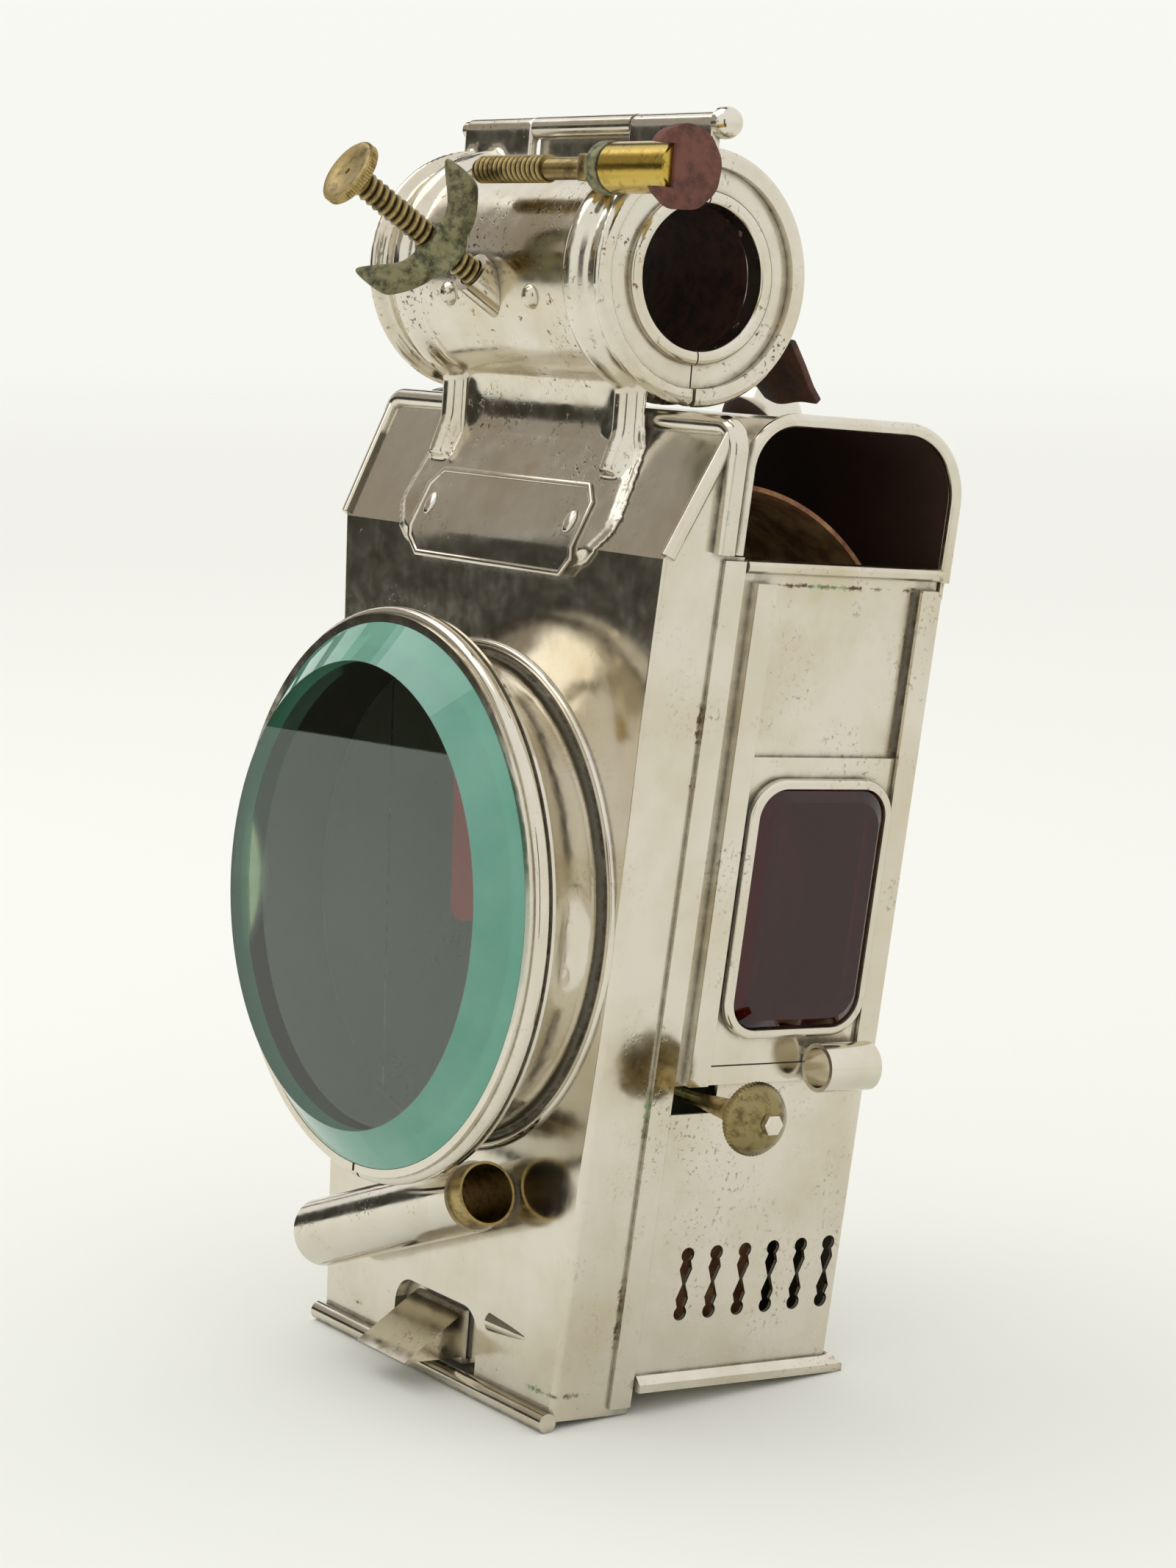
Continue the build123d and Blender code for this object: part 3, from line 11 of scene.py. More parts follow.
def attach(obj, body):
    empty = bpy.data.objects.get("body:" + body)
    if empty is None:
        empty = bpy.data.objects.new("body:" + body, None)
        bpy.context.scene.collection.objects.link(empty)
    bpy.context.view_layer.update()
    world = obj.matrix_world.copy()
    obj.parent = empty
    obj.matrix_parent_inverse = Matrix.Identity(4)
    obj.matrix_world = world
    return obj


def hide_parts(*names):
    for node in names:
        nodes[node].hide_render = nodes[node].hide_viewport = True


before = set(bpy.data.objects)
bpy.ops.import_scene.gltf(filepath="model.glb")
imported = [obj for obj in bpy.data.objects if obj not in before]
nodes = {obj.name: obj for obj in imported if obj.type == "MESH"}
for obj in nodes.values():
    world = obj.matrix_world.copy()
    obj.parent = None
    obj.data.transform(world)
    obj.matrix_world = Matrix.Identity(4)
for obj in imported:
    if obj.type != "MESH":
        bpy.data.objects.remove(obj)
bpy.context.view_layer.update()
bpy.ops.object.select_all(action="DESELECT")

# %% [markdown]
# The lamp was drawn upright and then leaned back a few degrees, because the rolled bead under its front panel
# hangs lower than the base. It is easier to place pieces in the upright drawing's millimetres: X across the lamp,
# Y back from the front panel and Z up from the base. One matrix takes them to where the lamp really stands.
# %% From the lamp's own millimetres to the scene's metres
LEAN = math.radians(5.48)
FOOT = Vector((-4.307, -29.032, 5.795))
lamp_to_scene = Matrix.Scale(0.001, 4) @ Matrix.Translation(FOOT) @ Matrix.Rotation(-LEAN, 4, "X")
print("panel's foot lands at", [round(v, 4) for v in lamp_to_scene @ Vector((0, 0, 0))])

# %% [markdown]
# A camera with a longish lens, a little above the lamp and off its right front corner, looks at it the way a
# person looks at something small on a table. No depth of field: the whole lamp stays sharp.
# %% Camera
camera_data = bpy.data.cameras.new("lamp_camera")
camera_data.lens = 82.0
camera_data.sensor_width = 36.0
camera_data.clip_start, camera_data.clip_end = 0.01, 50.0
camera = bpy.data.objects.new("lamp_camera", camera_data)
bpy.context.scene.collection.objects.link(camera)
camera.location = (0.51616, -0.35231, 0.20609)
camera.rotation_euler = (math.radians(90 - 9.265), 0, math.radians(55.58))
bpy.context.scene.camera = camera
print("camera stands", round(camera.location.length, 3), "m off")


# %% [markdown]
# Every colour in this lesson is written as the hex value a paint program shows. Blender's shaders work in linear
# light, so one function turns such a value into the numbers a shader socket takes.
# %% Colours
def colour(hex_value):
    """An sRGB hex value as linear red, green, blue and alpha."""
    channels = [int(hex_value[i:i + 2], 16) / 255 for i in (1, 3, 5)]
    linear = [c / 12.92 if c <= 0.04045 else ((c + 0.055) / 1.055) ** 2.4 for c in channels]
    return (*linear, 1.0)


def add(tree, kind, settings=(), links=()):
    """Add one shader node, give its properties and sockets their values, and link what feeds it."""
    node = tree.nodes.new("ShaderNode" + kind)
    for name, value in dict(settings).items():
        if isinstance(name, str) and hasattr(node, name):
            setattr(node, name, value)
        else:
            node.inputs[name].default_value = value
    for name, source in dict(links).items():
        tree.links.new(source, node.inputs[name])
    return node


def blank_finish(name):
    """A new material with an empty node tree, and that tree."""
    finish = bpy.data.materials.new(name)
    finish.use_nodes = True
    finish.node_tree.nodes.clear()
    return finish, finish.node_tree


print("white as the shader sees it:", colour("#ffffff"))

# %% [markdown]
# The table is a plain pale sweep that fades out far from the lamp, so that it has no edge. Round it lies a bright,
# even surround.
# %% Table and surround
FADE_START, FADE_END = 0.7, 4.5
bpy.ops.mesh.primitive_circle_add(vertices=96, radius=6, fill_type="NGON", location=(0, 0, 0))
floor = bpy.context.object
floor.name = "floor"
floor_finish, tree = blank_finish("matte_white_card")
place = add(tree, "TexCoord")
far = add(tree, "VectorMath", {"operation": "LENGTH"}, {0: place.outputs["Object"]})
fade = add(tree, "MapRange", {"interpolation_type": "SMOOTHSTEP", "From Min": FADE_START, "From Max": FADE_END},
           {"Value": far.outputs["Value"]})
card = add(tree, "BsdfDiffuse", {"Color": colour("#efefe9")})
clear = add(tree, "BsdfTransparent")
cover = add(tree, "MixShader", {}, {0: fade.outputs[0], 1: card.outputs[0], 2: clear.outputs[0]})
add(tree, "OutputMaterial", {}, {"Surface": cover.outputs[0]})
floor.data.materials.append(floor_finish)

world = bpy.data.worlds.new("soft_surround")
bpy.context.scene.world = world
world.use_nodes = True
tree = world.node_tree
tree.nodes.clear()
sky_place = add(tree, "TexCoord")
sky_split = add(tree, "SeparateXYZ", {}, {0: sky_place.outputs["Generated"]})
sky_ramp = add(tree, "ValToRGB", {}, {0: sky_split.outputs["Z"]})
sky_ramp.color_ramp.elements[0].position = 0.0
sky_ramp.color_ramp.elements[0].color = colour("#f8f8f2")
sky_ramp.color_ramp.elements[1].position = 0.75
sky_ramp.color_ramp.elements[1].color = colour("#ffffff")
sky = add(tree, "Background", {"Strength": 1.0}, {"Color": sky_ramp.outputs[0]})
add(tree, "OutputWorld", {}, {"Surface": sky.outputs[0]})
print("the floor fades from", FADE_START, "to", FADE_END, "m")

# %% [markdown]
# Nickel plate shows whatever stands round it, so what the room holds matters more than its lights. Six boards are
# seen only in the plating, as a studio's flags are. Five stand to the lamp's left: a dark room with a dim wall above
# it, a thin red board, a door frame and a dark patch of ceiling. The sixth stands in front, on the camera's side.
# One soft light hangs over the lamp, a little to its left.
# %% Boards and light
LAMP_MIDDLE = Vector((0, 0, 0.1))


def flag(name, hex_value, strength, middle, width, height):
    """A board that only the plating sees, facing the lamp."""
    bpy.ops.mesh.primitive_plane_add(size=1, location=middle)
    board = bpy.context.object
    board.name = name
    board.scale = (width, height, 1)
    board.rotation_mode = "QUATERNION"
    board.rotation_quaternion = (LAMP_MIDDLE - Vector(middle)).to_track_quat("Z", "Y")
    finish, board_tree = blank_finish(name)
    glow = add(board_tree, "Emission", {"Color": colour(hex_value), "Strength": strength})
    add(board_tree, "OutputMaterial", {}, {"Surface": glow.outputs[0]})
    board.data.materials.append(finish)
    board.visible_camera = board.visible_diffuse = board.visible_shadow = False


flag("dark_room", "#3a3832", 1.0, (-1.50, -1.10, 0.30), 2.0, 0.56)
flag("dim_wall", "#a39c92", 1.0, (-1.62, -0.95, 0.98), 2.2, 0.74)
flag("red_board", "#7c1820", 0.7, (-1.62, 0.22, 0.34), 0.10, 0.7)
flag("door_frame", "#2c2926", 1.0, (-1.45, 0.55, 0.70), 0.30, 1.3)
flag("dark_ceiling", "#4c4842", 1.0, (-0.9, 0.45, 1.75), 0.5, 0.9)
flag("camera_side", "#4a4540", 1.0, (1.05, -1.35, 0.50), 0.34, 0.9)

key_data = bpy.data.lights.new("soft_key", "AREA")
key_data.shape, key_data.size, key_data.size_y, key_data.energy = "RECTANGLE", 0.9, 0.9, 2.6
key = bpy.data.objects.new("soft_key", key_data)
bpy.context.scene.collection.objects.link(key)
key.location = (-0.55, -0.35, 1.15)
key.rotation_mode = "QUATERNION"
key.rotation_quaternion = (key.location - LAMP_MIDDLE).to_track_quat("Z", "Y")
bpy.context.scene.view_settings.view_transform = "Standard"

# %% [markdown]
# Nickel plate that has been in use for a century is still a mirror, but a tired one. Close up it shows a faint
# yellow haze in clouds a few centimetres wide, and pits of about a third of a millimetre, drawn a little coarser
# here so that they show. Every finish takes where a point lies from the upright lamp's millimetres, so its grain
# keeps one size all over.
# %% Nickel: haze and pits
CLEAN_NICKEL, HAZY_NICKEL, PIT_BROWN = colour("#dcd6c8"), colour("#b9a77b"), colour("#6a6152")


def lamp_place(tree):
    """Object coordinates turned back to the upright lamp's millimetres."""
    where = add(tree, "TexCoord")
    back = Matrix.Rotation(-LEAN, 3, "X").transposed() @ -FOOT
    upright = add(tree, "Mapping", {"Location": back, "Rotation": (LEAN, 0, 0), "Scale": (1000, 1000, 1000)},
                  {"Vector": where.outputs["Object"]})
    return upright.outputs[0]


def hazed_plate(tree, spot, haze, pits):
    """Nickel under its haze, with pits. Gives its colour, its clouds and how pitted each point is."""
    clouds = add(tree, "TexNoise", {"Scale": 0.045, "Detail": 5.0, "Roughness": 0.62}, {"Vector": spot})
    cloudy = add(tree, "MapRange", {"From Min": 0.42, "From Max": 0.70, "To Max": haze},
                 {"Value": clouds.outputs[0]})
    plate = add(tree, "MixRGB", {1: CLEAN_NICKEL, 2: HAZY_NICKEL}, {0: cloudy.outputs[0]})
    grit = add(tree, "TexNoise", {"Scale": 1.1, "Detail": 3.0, "Roughness": 0.6}, {"Vector": spot})
    where_pitted = add(tree, "TexNoise", {"Scale": 0.08, "Detail": 2.0}, {"Vector": spot})
    pit_zone = add(tree, "MapRange", {"From Min": 0.50, "From Max": 0.66}, {"Value": where_pitted.outputs[0]})
    pit_dots = add(tree, "MapRange", {"From Min": 0.58, "From Max": 0.66}, {"Value": grit.outputs[0]})
    pitted = add(tree, "Math", {"operation": "MULTIPLY"}, {0: pit_zone.outputs[0], 1: pit_dots.outputs[0]})
    pit_share = add(tree, "Math", {"operation": "MULTIPLY", 1: pits * 2.2, "use_clamp": True},
                    {0: pitted.outputs[0]})
    worn = add(tree, "MixRGB", {2: PIT_BROWN}, {0: pit_share.outputs[0], 1: plate.outputs[0]})
    return worn.outputs[0], clouds.outputs[0], pit_share.outputs[0]


print("clean nickel as the shader sees it:", [round(c, 3) for c in CLEAN_NICKEL])


# %% [markdown]
# Brown freckles show where the plating has let the rust through. Every crease and the ring round every rivet are
# darkened brown by ambient occlusion, which is painted shade mixed with grime. Along the seams, where solder and
# brass lie under the plating, the dirt has grown to a crust, brown in some places and green with verdigris in
# others.
# %% Nickel: rust, grime with painted crease shade, and seams
# The second brown is both grime and the painted shade in creases.
RUST_BROWN, GRIME_AND_SHADE_BROWN = colour("#7a4a24"), colour("#5e5138")
CRUST_BROWN, CRUST_GREEN = colour("#5b4526"), colour("#7fa67a")
NOOK_REACH = 0.0022


def rust_and_grime(tree, spot, plate, rust):
    """Rust freckles, and grime with painted shade in the creases, over the plate. Gives the new colour and how dull
    each point is.
    """
    freckle = add(tree, "TexNoise", {"Scale": 0.35, "Detail": 6.0, "Roughness": 0.7}, {"Vector": spot})
    freckled = add(tree, "MapRange", {"From Min": 0.70 - 0.09 * rust, "From Max": 0.76 - 0.09 * rust},
                   {"Value": freckle.outputs[0]})
    rusty = add(tree, "MixRGB", {2: RUST_BROWN}, {0: freckled.outputs[0], 1: plate})
    # Ambient occlusion darkens creases, rims and the ring round each rivet towards brown: painted shade, broken up
    # by the freckle noise as grime is.
    nook = add(tree, "AmbientOcclusion", {"samples": 6, "Distance": NOOK_REACH})
    shut_in = add(tree, "MapRange", {"From Min": 0.80, "From Max": 0.35}, {"Value": nook.outputs["AO"]})
    crumbly = add(tree, "MapRange", {"From Min": 0.30, "From Max": 0.62, "To Min": 0.25, "To Max": 1.0},
                  {"Value": freckle.outputs[0]})
    dirt_and_crease_shade = add(tree, "Math", {"operation": "MULTIPLY"}, {0: shut_in.outputs[0], 1: crumbly.outputs[0]})
    grimy_and_shaded = add(tree, "MixRGB", {2: GRIME_AND_SHADE_BROWN}, {0: dirt_and_crease_shade.outputs[0], 1: rusty.outputs[0]})
    dull = add(tree, "Math", {"operation": "MAXIMUM"}, {0: freckled.outputs[0], 1: dirt_and_crease_shade.outputs[0]})
    return grimy_and_shaded.outputs[0], dull.outputs[0]


def seam_crust(tree, spot, clouds, surface, dull, seams):
    """A crust along seams. Each seam is an axis, a level on that axis and how far the crust reaches."""
    split = add(tree, "SeparateXYZ", {}, {0: spot})
    by_seam = None
    for axis, level, reach in seams:
        away = add(tree, "Math", {"operation": "SUBTRACT", 1: level}, {0: split.outputs[axis]})
        distance = add(tree, "Math", {"operation": "ABSOLUTE"}, {0: away.outputs[0]})
        near = add(tree, "MapRange", {"From Min": 0.0, "From Max": reach, "To Min": 1.0, "To Max": 0.0},
                   {"Value": distance.outputs[0]})
        by_seam = near if by_seam is None else add(tree, "Math", {"operation": "MAXIMUM"},
                                                   {0: by_seam.outputs[0], 1: near.outputs[0]})
    crumbs = add(tree, "TexNoise", {"Scale": 0.9, "Detail": 5.0, "Roughness": 0.7}, {"Vector": spot})
    here_and_there = add(tree, "MapRange", {"From Min": 0.44, "From Max": 0.60, "To Min": 0.35, "To Max": 1.0},
                         {"Value": clouds})
    patchy = add(tree, "Math", {"operation": "MULTIPLY"}, {0: here_and_there.outputs[0], 1: by_seam.outputs[0]})
    lifted = add(tree, "Math", {"operation": "ADD"}, {0: crumbs.outputs[0], 1: patchy.outputs[0]})
    crusted = add(tree, "MapRange", {"From Min": 1.26, "From Max": 1.46}, {"Value": lifted.outputs[0]})
    which = add(tree, "TexNoise", {"Scale": 0.12, "Detail": 2.0}, {"Vector": spot})
    kind = add(tree, "MapRange", {"From Min": 0.44, "From Max": 0.56}, {"Value": which.outputs[0]})
    crust = add(tree, "MixRGB", {1: CRUST_BROWN, 2: CRUST_GREEN}, {0: kind.outputs[0]})
    covered = add(tree, "MixRGB", {}, {0: crusted.outputs[0], 1: surface, 2: crust.outputs[0]})
    duller = add(tree, "Math", {"operation": "MAXIMUM"}, {0: dull, 1: crusted.outputs[0]})
    return covered.outputs[0], duller.outputs[0]


# The brown in the nooks is painted shade from ambient occlusion, mixed with grime.
print("grime gathers in nooks up to", 1000 * NOOK_REACH, "mm wide")


# %% [markdown]
# Inside the lamp the same sheet is black or grey with soot. A sheet's inner side is the one whose normal points at
# the heart, a point inside its shell. The side walls lean outward as they rise, and soot stops short of them, of
# the floor and of a given height, so that no outer edge goes black.
# %% Nickel: soot
WALL_INSIDE, WALL_TAPER, SOOT_FLOOR, SOFT_EDGE = 38.2, 0.0891, 1.5, 1.0


def soot_inside(tree, spot, surface, dull, heart, soot_top, soot_dark, soot_light):
    """Soot on the inner side of a sheet. Gives the new colour and how dull each point is."""
    where = add(tree, "TexCoord")
    split = add(tree, "SeparateXYZ", {}, {0: spot})
    from_heart = add(tree, "VectorMath", {"operation": "SUBTRACT", 1: Vector(heart)}, {0: spot})
    normal = add(tree, "VectorRotate", {"rotation_type": "X_AXIS", "Angle": LEAN}, {0: where.outputs["Normal"]})
    facing = add(tree, "VectorMath", {"operation": "DOT_PRODUCT"}, {0: from_heart.outputs[0], 1: normal.outputs[0]})
    inward = add(tree, "MapRange", {"From Min": 0.5, "From Max": -0.5}, {"Value": facing.outputs["Value"]})
    taper_here = add(tree, "Math", {"operation": "MULTIPLY", 1: WALL_TAPER}, {0: split.outputs["Z"]})
    across = add(tree, "Math", {"operation": "ABSOLUTE"}, {0: split.outputs["X"]})
    from_side = add(tree, "Math", {"operation": "SUBTRACT"}, {0: across.outputs[0], 1: taper_here.outputs[0]})
    well_in = add(tree, "MapRange", {"From Min": WALL_INSIDE, "From Max": WALL_INSIDE - SOFT_EDGE},
                  {"Value": from_side.outputs[0]})
    high_up = add(tree, "MapRange", {"From Min": SOOT_FLOOR, "From Max": SOOT_FLOOR + SOFT_EDGE},
                  {"Value": split.outputs["Z"]})
    low_down = add(tree, "MapRange", {"From Min": soot_top, "From Max": soot_top - SOFT_EDGE},
                   {"Value": split.outputs["Z"]})
    in_height = add(tree, "Math", {"operation": "MULTIPLY"}, {0: high_up.outputs[0], 1: low_down.outputs[0]})
    inside = add(tree, "Math", {"operation": "MULTIPLY"}, {0: inward.outputs[0], 1: well_in.outputs[0]})
    black = add(tree, "Math", {"operation": "MULTIPLY"}, {0: inside.outputs[0], 1: in_height.outputs[0]})
    smoke = add(tree, "TexNoise", {"Scale": 0.09, "Detail": 5.0, "Roughness": 0.6}, {"Vector": spot})
    sooty = add(tree, "MixRGB", {1: colour(soot_dark), 2: colour(soot_light)}, {0: smoke.outputs[0]})
    covered = add(tree, "MixRGB", {}, {0: black.outputs[0], 1: surface, 2: sooty.outputs[0]})
    duller = add(tree, "Math", {"operation": "MAXIMUM"}, {0: dull, 1: black.outputs[0]})
    return covered.outputs[0], duller.outputs[0]


print("soot stays within", WALL_INSIDE, "mm of the middle at the base")


# %% [markdown]
# The whole finish puts these layers on each other. Where rust, dirt, crust, soot and the painted shade of creases
# make a point dull, it is rougher and less of a metal, and elsewhere the rubbing of hands has left the gloss uneven.
# Each group of pieces has aged in its own way.
# %% Nickel: the whole finish
def aged_nickel(name, shine=(0.10, 0.30), haze=0.35, pits=0.25, rust=0.25, seams=(), heart=None, soot_top=400,
                soot_dark="#1d1712", soot_light="#4a2c1a"):
    """Worn nickel plate, with soot on its inner side if it is given a heart."""
    finish, tree = blank_finish(name)
    spot = lamp_place(tree)
    surface, clouds, pitted = hazed_plate(tree, spot, haze, pits)
    surface, dull = rust_and_grime(tree, spot, surface, rust)
    if seams:
        surface, dull = seam_crust(tree, spot, clouds, surface, dull, seams)
    if heart:
        surface, dull = soot_inside(tree, spot, surface, dull, heart, soot_top, soot_dark, soot_light)
    rub = add(tree, "TexNoise", {"Scale": 0.22, "Detail": 6.0, "Roughness": 0.65}, {"Vector": spot})
    gloss = add(tree, "MapRange", {"From Min": 0.3, "From Max": 0.72, "To Min": shine[0], "To Max": shine[1]},
                {"Value": rub.outputs[0]})
    roughness = add(tree, "Mix", {"data_type": "FLOAT", 3: 0.75}, {0: dull, 2: gloss.outputs[0]})
    metallic = add(tree, "MapRange", {"To Min": 1.0, "To Max": 0.12}, {"Value": dull})
    wave = add(tree, "TexNoise", {"Scale": 0.11, "Detail": 2.0}, {"Vector": spot})
    ripple = add(tree, "Bump", {"Strength": 0.10, "Distance": 0.001}, {"Height": wave.outputs[0]})
    pit_bump = add(tree, "Bump", {"Strength": 0.25, "Distance": 0.0001, "invert": True},
                   {"Height": pitted, "Normal": ripple.outputs[0]})
    shader = add(tree, "BsdfPrincipled", {}, {"Base Color": surface, "Roughness": roughness.outputs[0],
                                             "Metallic": metallic.outputs[0], "Normal": pit_bump.outputs[0]})
    add(tree, "OutputMaterial", {}, {"Surface": shader.outputs[0]})
    return finish


def dress(finish, *names):
    """Give CAD nodes a finish in place of the plain one they came with."""
    for node_name in names:
        slots = nodes[node_name].data.materials
        slots.clear()
        slots.append(finish)
    print(finish.name, "on", len(names), "pieces")


GREY_SOOT = {"soot_dark": "#3a372b", "soot_light": "#7a735c"}
panel_nickel = aged_nickel("nickel_plate_front_panel", shine=(0.10, 0.22), haze=0.4, pits=0.1, rust=0.2,
                           seams=[("Z", 0.2, 2.6), ("Y", 11.1, 2.4), ("Z", 162.4, 3.0)], heart=(0, 12, 80),
                           soot_top=160, **GREY_SOOT)
case_nickel = aged_nickel("nickel_plate_case", shine=(0.14, 0.34), haze=0.45, rust=0.1,
                          seams=[("Y", 16.0, 1.8), ("Z", 140.3, 1.8)], heart=(0, 37, 80), **GREY_SOOT)
trim_nickel = aged_nickel("nickel_plate_trim", shine=(0.07, 0.22), haze=0.35, rust=0.1)
bezel_nickel = aged_nickel("nickel_plate_bezel", shine=(0.05, 0.16), haze=0.3, pits=0.1, rust=0.0,
                           heart=(0, -7, 80.6))
barrel_nickel = aged_nickel("nickel_plate_barrel", shine=(0.08, 0.28), haze=0.55, pits=0.5, rust=0.75)
plate_nickel = aged_nickel("nickel_plate_stamping", shine=(0.12, 0.26), haze=0.55, pits=0.2, rust=0.5)
hood_nickel = aged_nickel("nickel_plate_hood", shine=(0.1, 0.3), haze=0.5, rust=0.3, heart=(0, 37, 150))
dress(panel_nickel, "front_shell")
dress(case_nickel, "case_body", "base_plate")
dress(hood_nickel, "hood", "hood_knob")
dress(bezel_nickel, "lens_collar", "lens_bezel")
dress(barrel_nickel, "hub_bracket", "rear_barrel_half", "front_end_rings", "rear_end_rings", "hinge_pin",
      "screw_boss", "barrel_rivets")
dress(trim_nickel, "side_bands", "cross_tube", "nameplate", "case_hinge_front", "case_hinge_rear", "case_hinge_pin",
      "slide_rails_right", "slide_rails_left", "slide_plate_right", "slide_plate_left", "window_frame_right",
      "window_frame_left", "finger_tube_right", "finger_tube_left", "knob_rivet", "catch_tongue")


# %% [markdown]
# Brass goes brown-gold in the hand and darker where nobody touches it. The wing nut has gone further: a grey-green
# skin of oxide with pits in it, and hardly any shine. Both are the same metal with a different age. A cut thread
# carries an attribute called groove, which is 1 at the bottom of its turns. There the brass is painted near-black:
# painted shade that picks out each turn.
# %% Brass, new and old
def aged_brass(name, bright, dark, shine, dark_share, metallic=1.0, lumps=0.0001):
    """Brass with a patina that lies in small clouds, and painted shade at the bottom of a thread's turns."""
    finish, tree = blank_finish(name)
    spot = lamp_place(tree)
    patina = add(tree, "TexNoise", {"Scale": 0.5, "Detail": 8.0, "Roughness": 0.68}, {"Vector": spot})
    share = add(tree, "MapRange", {"From Min": 0.62 - 0.3 * dark_share, "From Max": 0.80 - 0.3 * dark_share},
                {"Value": patina.outputs[0]})
    skin = add(tree, "MixRGB", {1: colour(bright), 2: colour(dark)}, {0: share.outputs[0]})
    # The bottom of a thread's turns is painted dark brown: painted shade, so that each turn shows.
    groove = add(tree, "Attribute", {"attribute_name": "groove"})
    deep = add(tree, "MapRange", {"From Min": 0.15, "From Max": 0.9}, {"Value": groove.outputs["Fac"]})
    mixed = add(tree, "MixRGB", {2: colour("#2a2318")}, {0: deep.outputs[0], 1: skin.outputs[0]})
    fine = add(tree, "TexNoise", {"Scale": 2.4, "Detail": 4.0}, {"Vector": spot})
    gloss = add(tree, "MapRange", {"To Min": shine[0], "To Max": shine[1]}, {"Value": fine.outputs[0]})
    rough = add(tree, "Bump", {"Strength": 0.5, "Distance": lumps}, {"Height": patina.outputs[0]})
    shader = add(tree, "BsdfPrincipled", {"Metallic": metallic},
                 {"Base Color": mixed.outputs[0], "Roughness": gloss.outputs[0], "Normal": rough.outputs[0]})
    add(tree, "OutputMaterial", {}, {"Surface": shader.outputs[0]})
    return finish


worn_brass = aged_brass("turned_brass_worn", "#b09a66", "#6b5c3a", (0.20, 0.45), 0.45)
sleeve_brass = aged_brass("turned_brass_sleeve", "#c4a84e", "#86702f", (0.10, 0.30), 0.2)
knob_brass = aged_brass("turned_brass_knob", "#8f8158", "#5f5232", (0.12, 0.30), 0.45)
oxide_brass = aged_brass("cast_brass_oxidised", "#8e8a66", "#4c4c38", (0.45, 0.75), 0.6, 0.45, 0.0006)
dress(worn_brass, "tube_liner", "thumb_screw", "stop_screw", "burner", "filler_cap", "winder_shaft")
dress(sleeve_brass, "stop_sleeve")
dress(knob_brass, "winder_knob")
dress(oxide_brass, "wing_nut", "lens_clip_ring", "stop_lug")

# %% [markdown]
# The front glass is thick plate, ground to a bevel all round. Old plate glass is faintly green, and the colour
# gathers where light runs a long way through it, which is an absorption inside the glass. The bevel is painted a
# bright, mottled teal and lets only half the light through: painted light, standing in for the light that runs round
# inside the thick glass edge. The side glasses are ruby.
# %% Glass
GLASS_MIDDLE, FLAT_RADIUS, GLASS_BENDING = 80.6, 40.4, 1.52
lens_finish, tree = blank_finish("plate_glass_green")
spot = lamp_place(tree)
from_middle = add(tree, "VectorMath", {"operation": "SUBTRACT", 1: Vector((0, 0, GLASS_MIDDLE))}, {0: spot})
flat_on = add(tree, "VectorMath", {"operation": "MULTIPLY", 1: Vector((1, 0, 1))}, {0: from_middle.outputs[0]})
out = add(tree, "VectorMath", {"operation": "LENGTH"}, {0: flat_on.outputs[0]})
on_bevel = add(tree, "MapRange", {"From Min": FLAT_RADIUS - 0.1, "From Max": FLAT_RADIUS + 0.1},
               {"Value": out.outputs["Value"]})
# The bevel's mottled teal is painted light: it stands in for light carried round inside the glass edge.
smear = add(tree, "TexNoise", {"Scale": 0.06, "Detail": 6.0, "Roughness": 0.6}, {"Vector": spot})
deep = add(tree, "MixRGB", {1: colour("#5fb79c"), 2: colour("#a5e0cb")}, {0: smear.outputs[0]})
glass_tint_and_painted_edge_glow = add(tree, "MixRGB", {1: colour("#dfeee0")}, {0: on_bevel.outputs[0], 2: deep.outputs[0]})
clearness = add(tree, "MapRange", {"To Min": 1.0, "To Max": 0.5}, {"Value": on_bevel.outputs[0]})
glass = add(tree, "BsdfPrincipled", {"IOR": GLASS_BENDING, "Roughness": 0.0},
            {"Base Color": glass_tint_and_painted_edge_glow.outputs[0], "Transmission Weight": clearness.outputs[0]})
drink = add(tree, "VolumeAbsorption", {"Color": colour("#b9dcc4"), "Density": 30.0})
add(tree, "OutputMaterial", {}, {"Surface": glass.outputs[0], "Volume": drink.outputs[0]})
dress(lens_finish, "lens_glass")

ruby_finish, tree = blank_finish("flashed_ruby_glass")
ruby = add(tree, "BsdfPrincipled", {"Base Color": colour("#7a0a14"), "Transmission Weight": 0.97,
                                   "IOR": GLASS_BENDING, "Roughness": 0.04})
add(tree, "OutputMaterial", {}, {"Surface": ruby.outputs[0]})
dress(ruby_finish, "window_glass_right", "window_glass_left")


# %% [markdown]
# Under the hood the tinplate cowl and the font have lost their tin to heat and damp: red-brown rust in blotches,
# ochre where water has dried. The leather is cattle hide, dry and brown, with a fine pebbled grain.
# %% Rust, leather, cotton and silver
def blotched(name, first, second, scale, shine, bump, bump_scale, metallic=0.0):
    """Two colours in soft blotches with a grain over them."""
    finish, tree = blank_finish(name)
    spot = lamp_place(tree)
    blotch = add(tree, "TexNoise", {"Scale": scale, "Detail": 7.0, "Roughness": 0.65}, {"Vector": spot})
    share = add(tree, "MapRange", {"From Min": 0.42, "From Max": 0.62}, {"Value": blotch.outputs[0]})
    mixed = add(tree, "MixRGB", {1: colour(first), 2: colour(second)}, {0: share.outputs[0]})
    grain = add(tree, "TexNoise", {"Scale": bump_scale, "Detail": 5.0, "Roughness": 0.6}, {"Vector": spot})
    rough = add(tree, "Bump", {"Strength": 0.6, "Distance": bump}, {"Height": grain.outputs[0]})
    shader = add(tree, "BsdfPrincipled", {"Metallic": metallic, "Roughness": shine},
                 {"Base Color": mixed.outputs[0], "Normal": rough.outputs[0]})
    add(tree, "OutputMaterial", {}, {"Surface": shader.outputs[0]})
    return finish


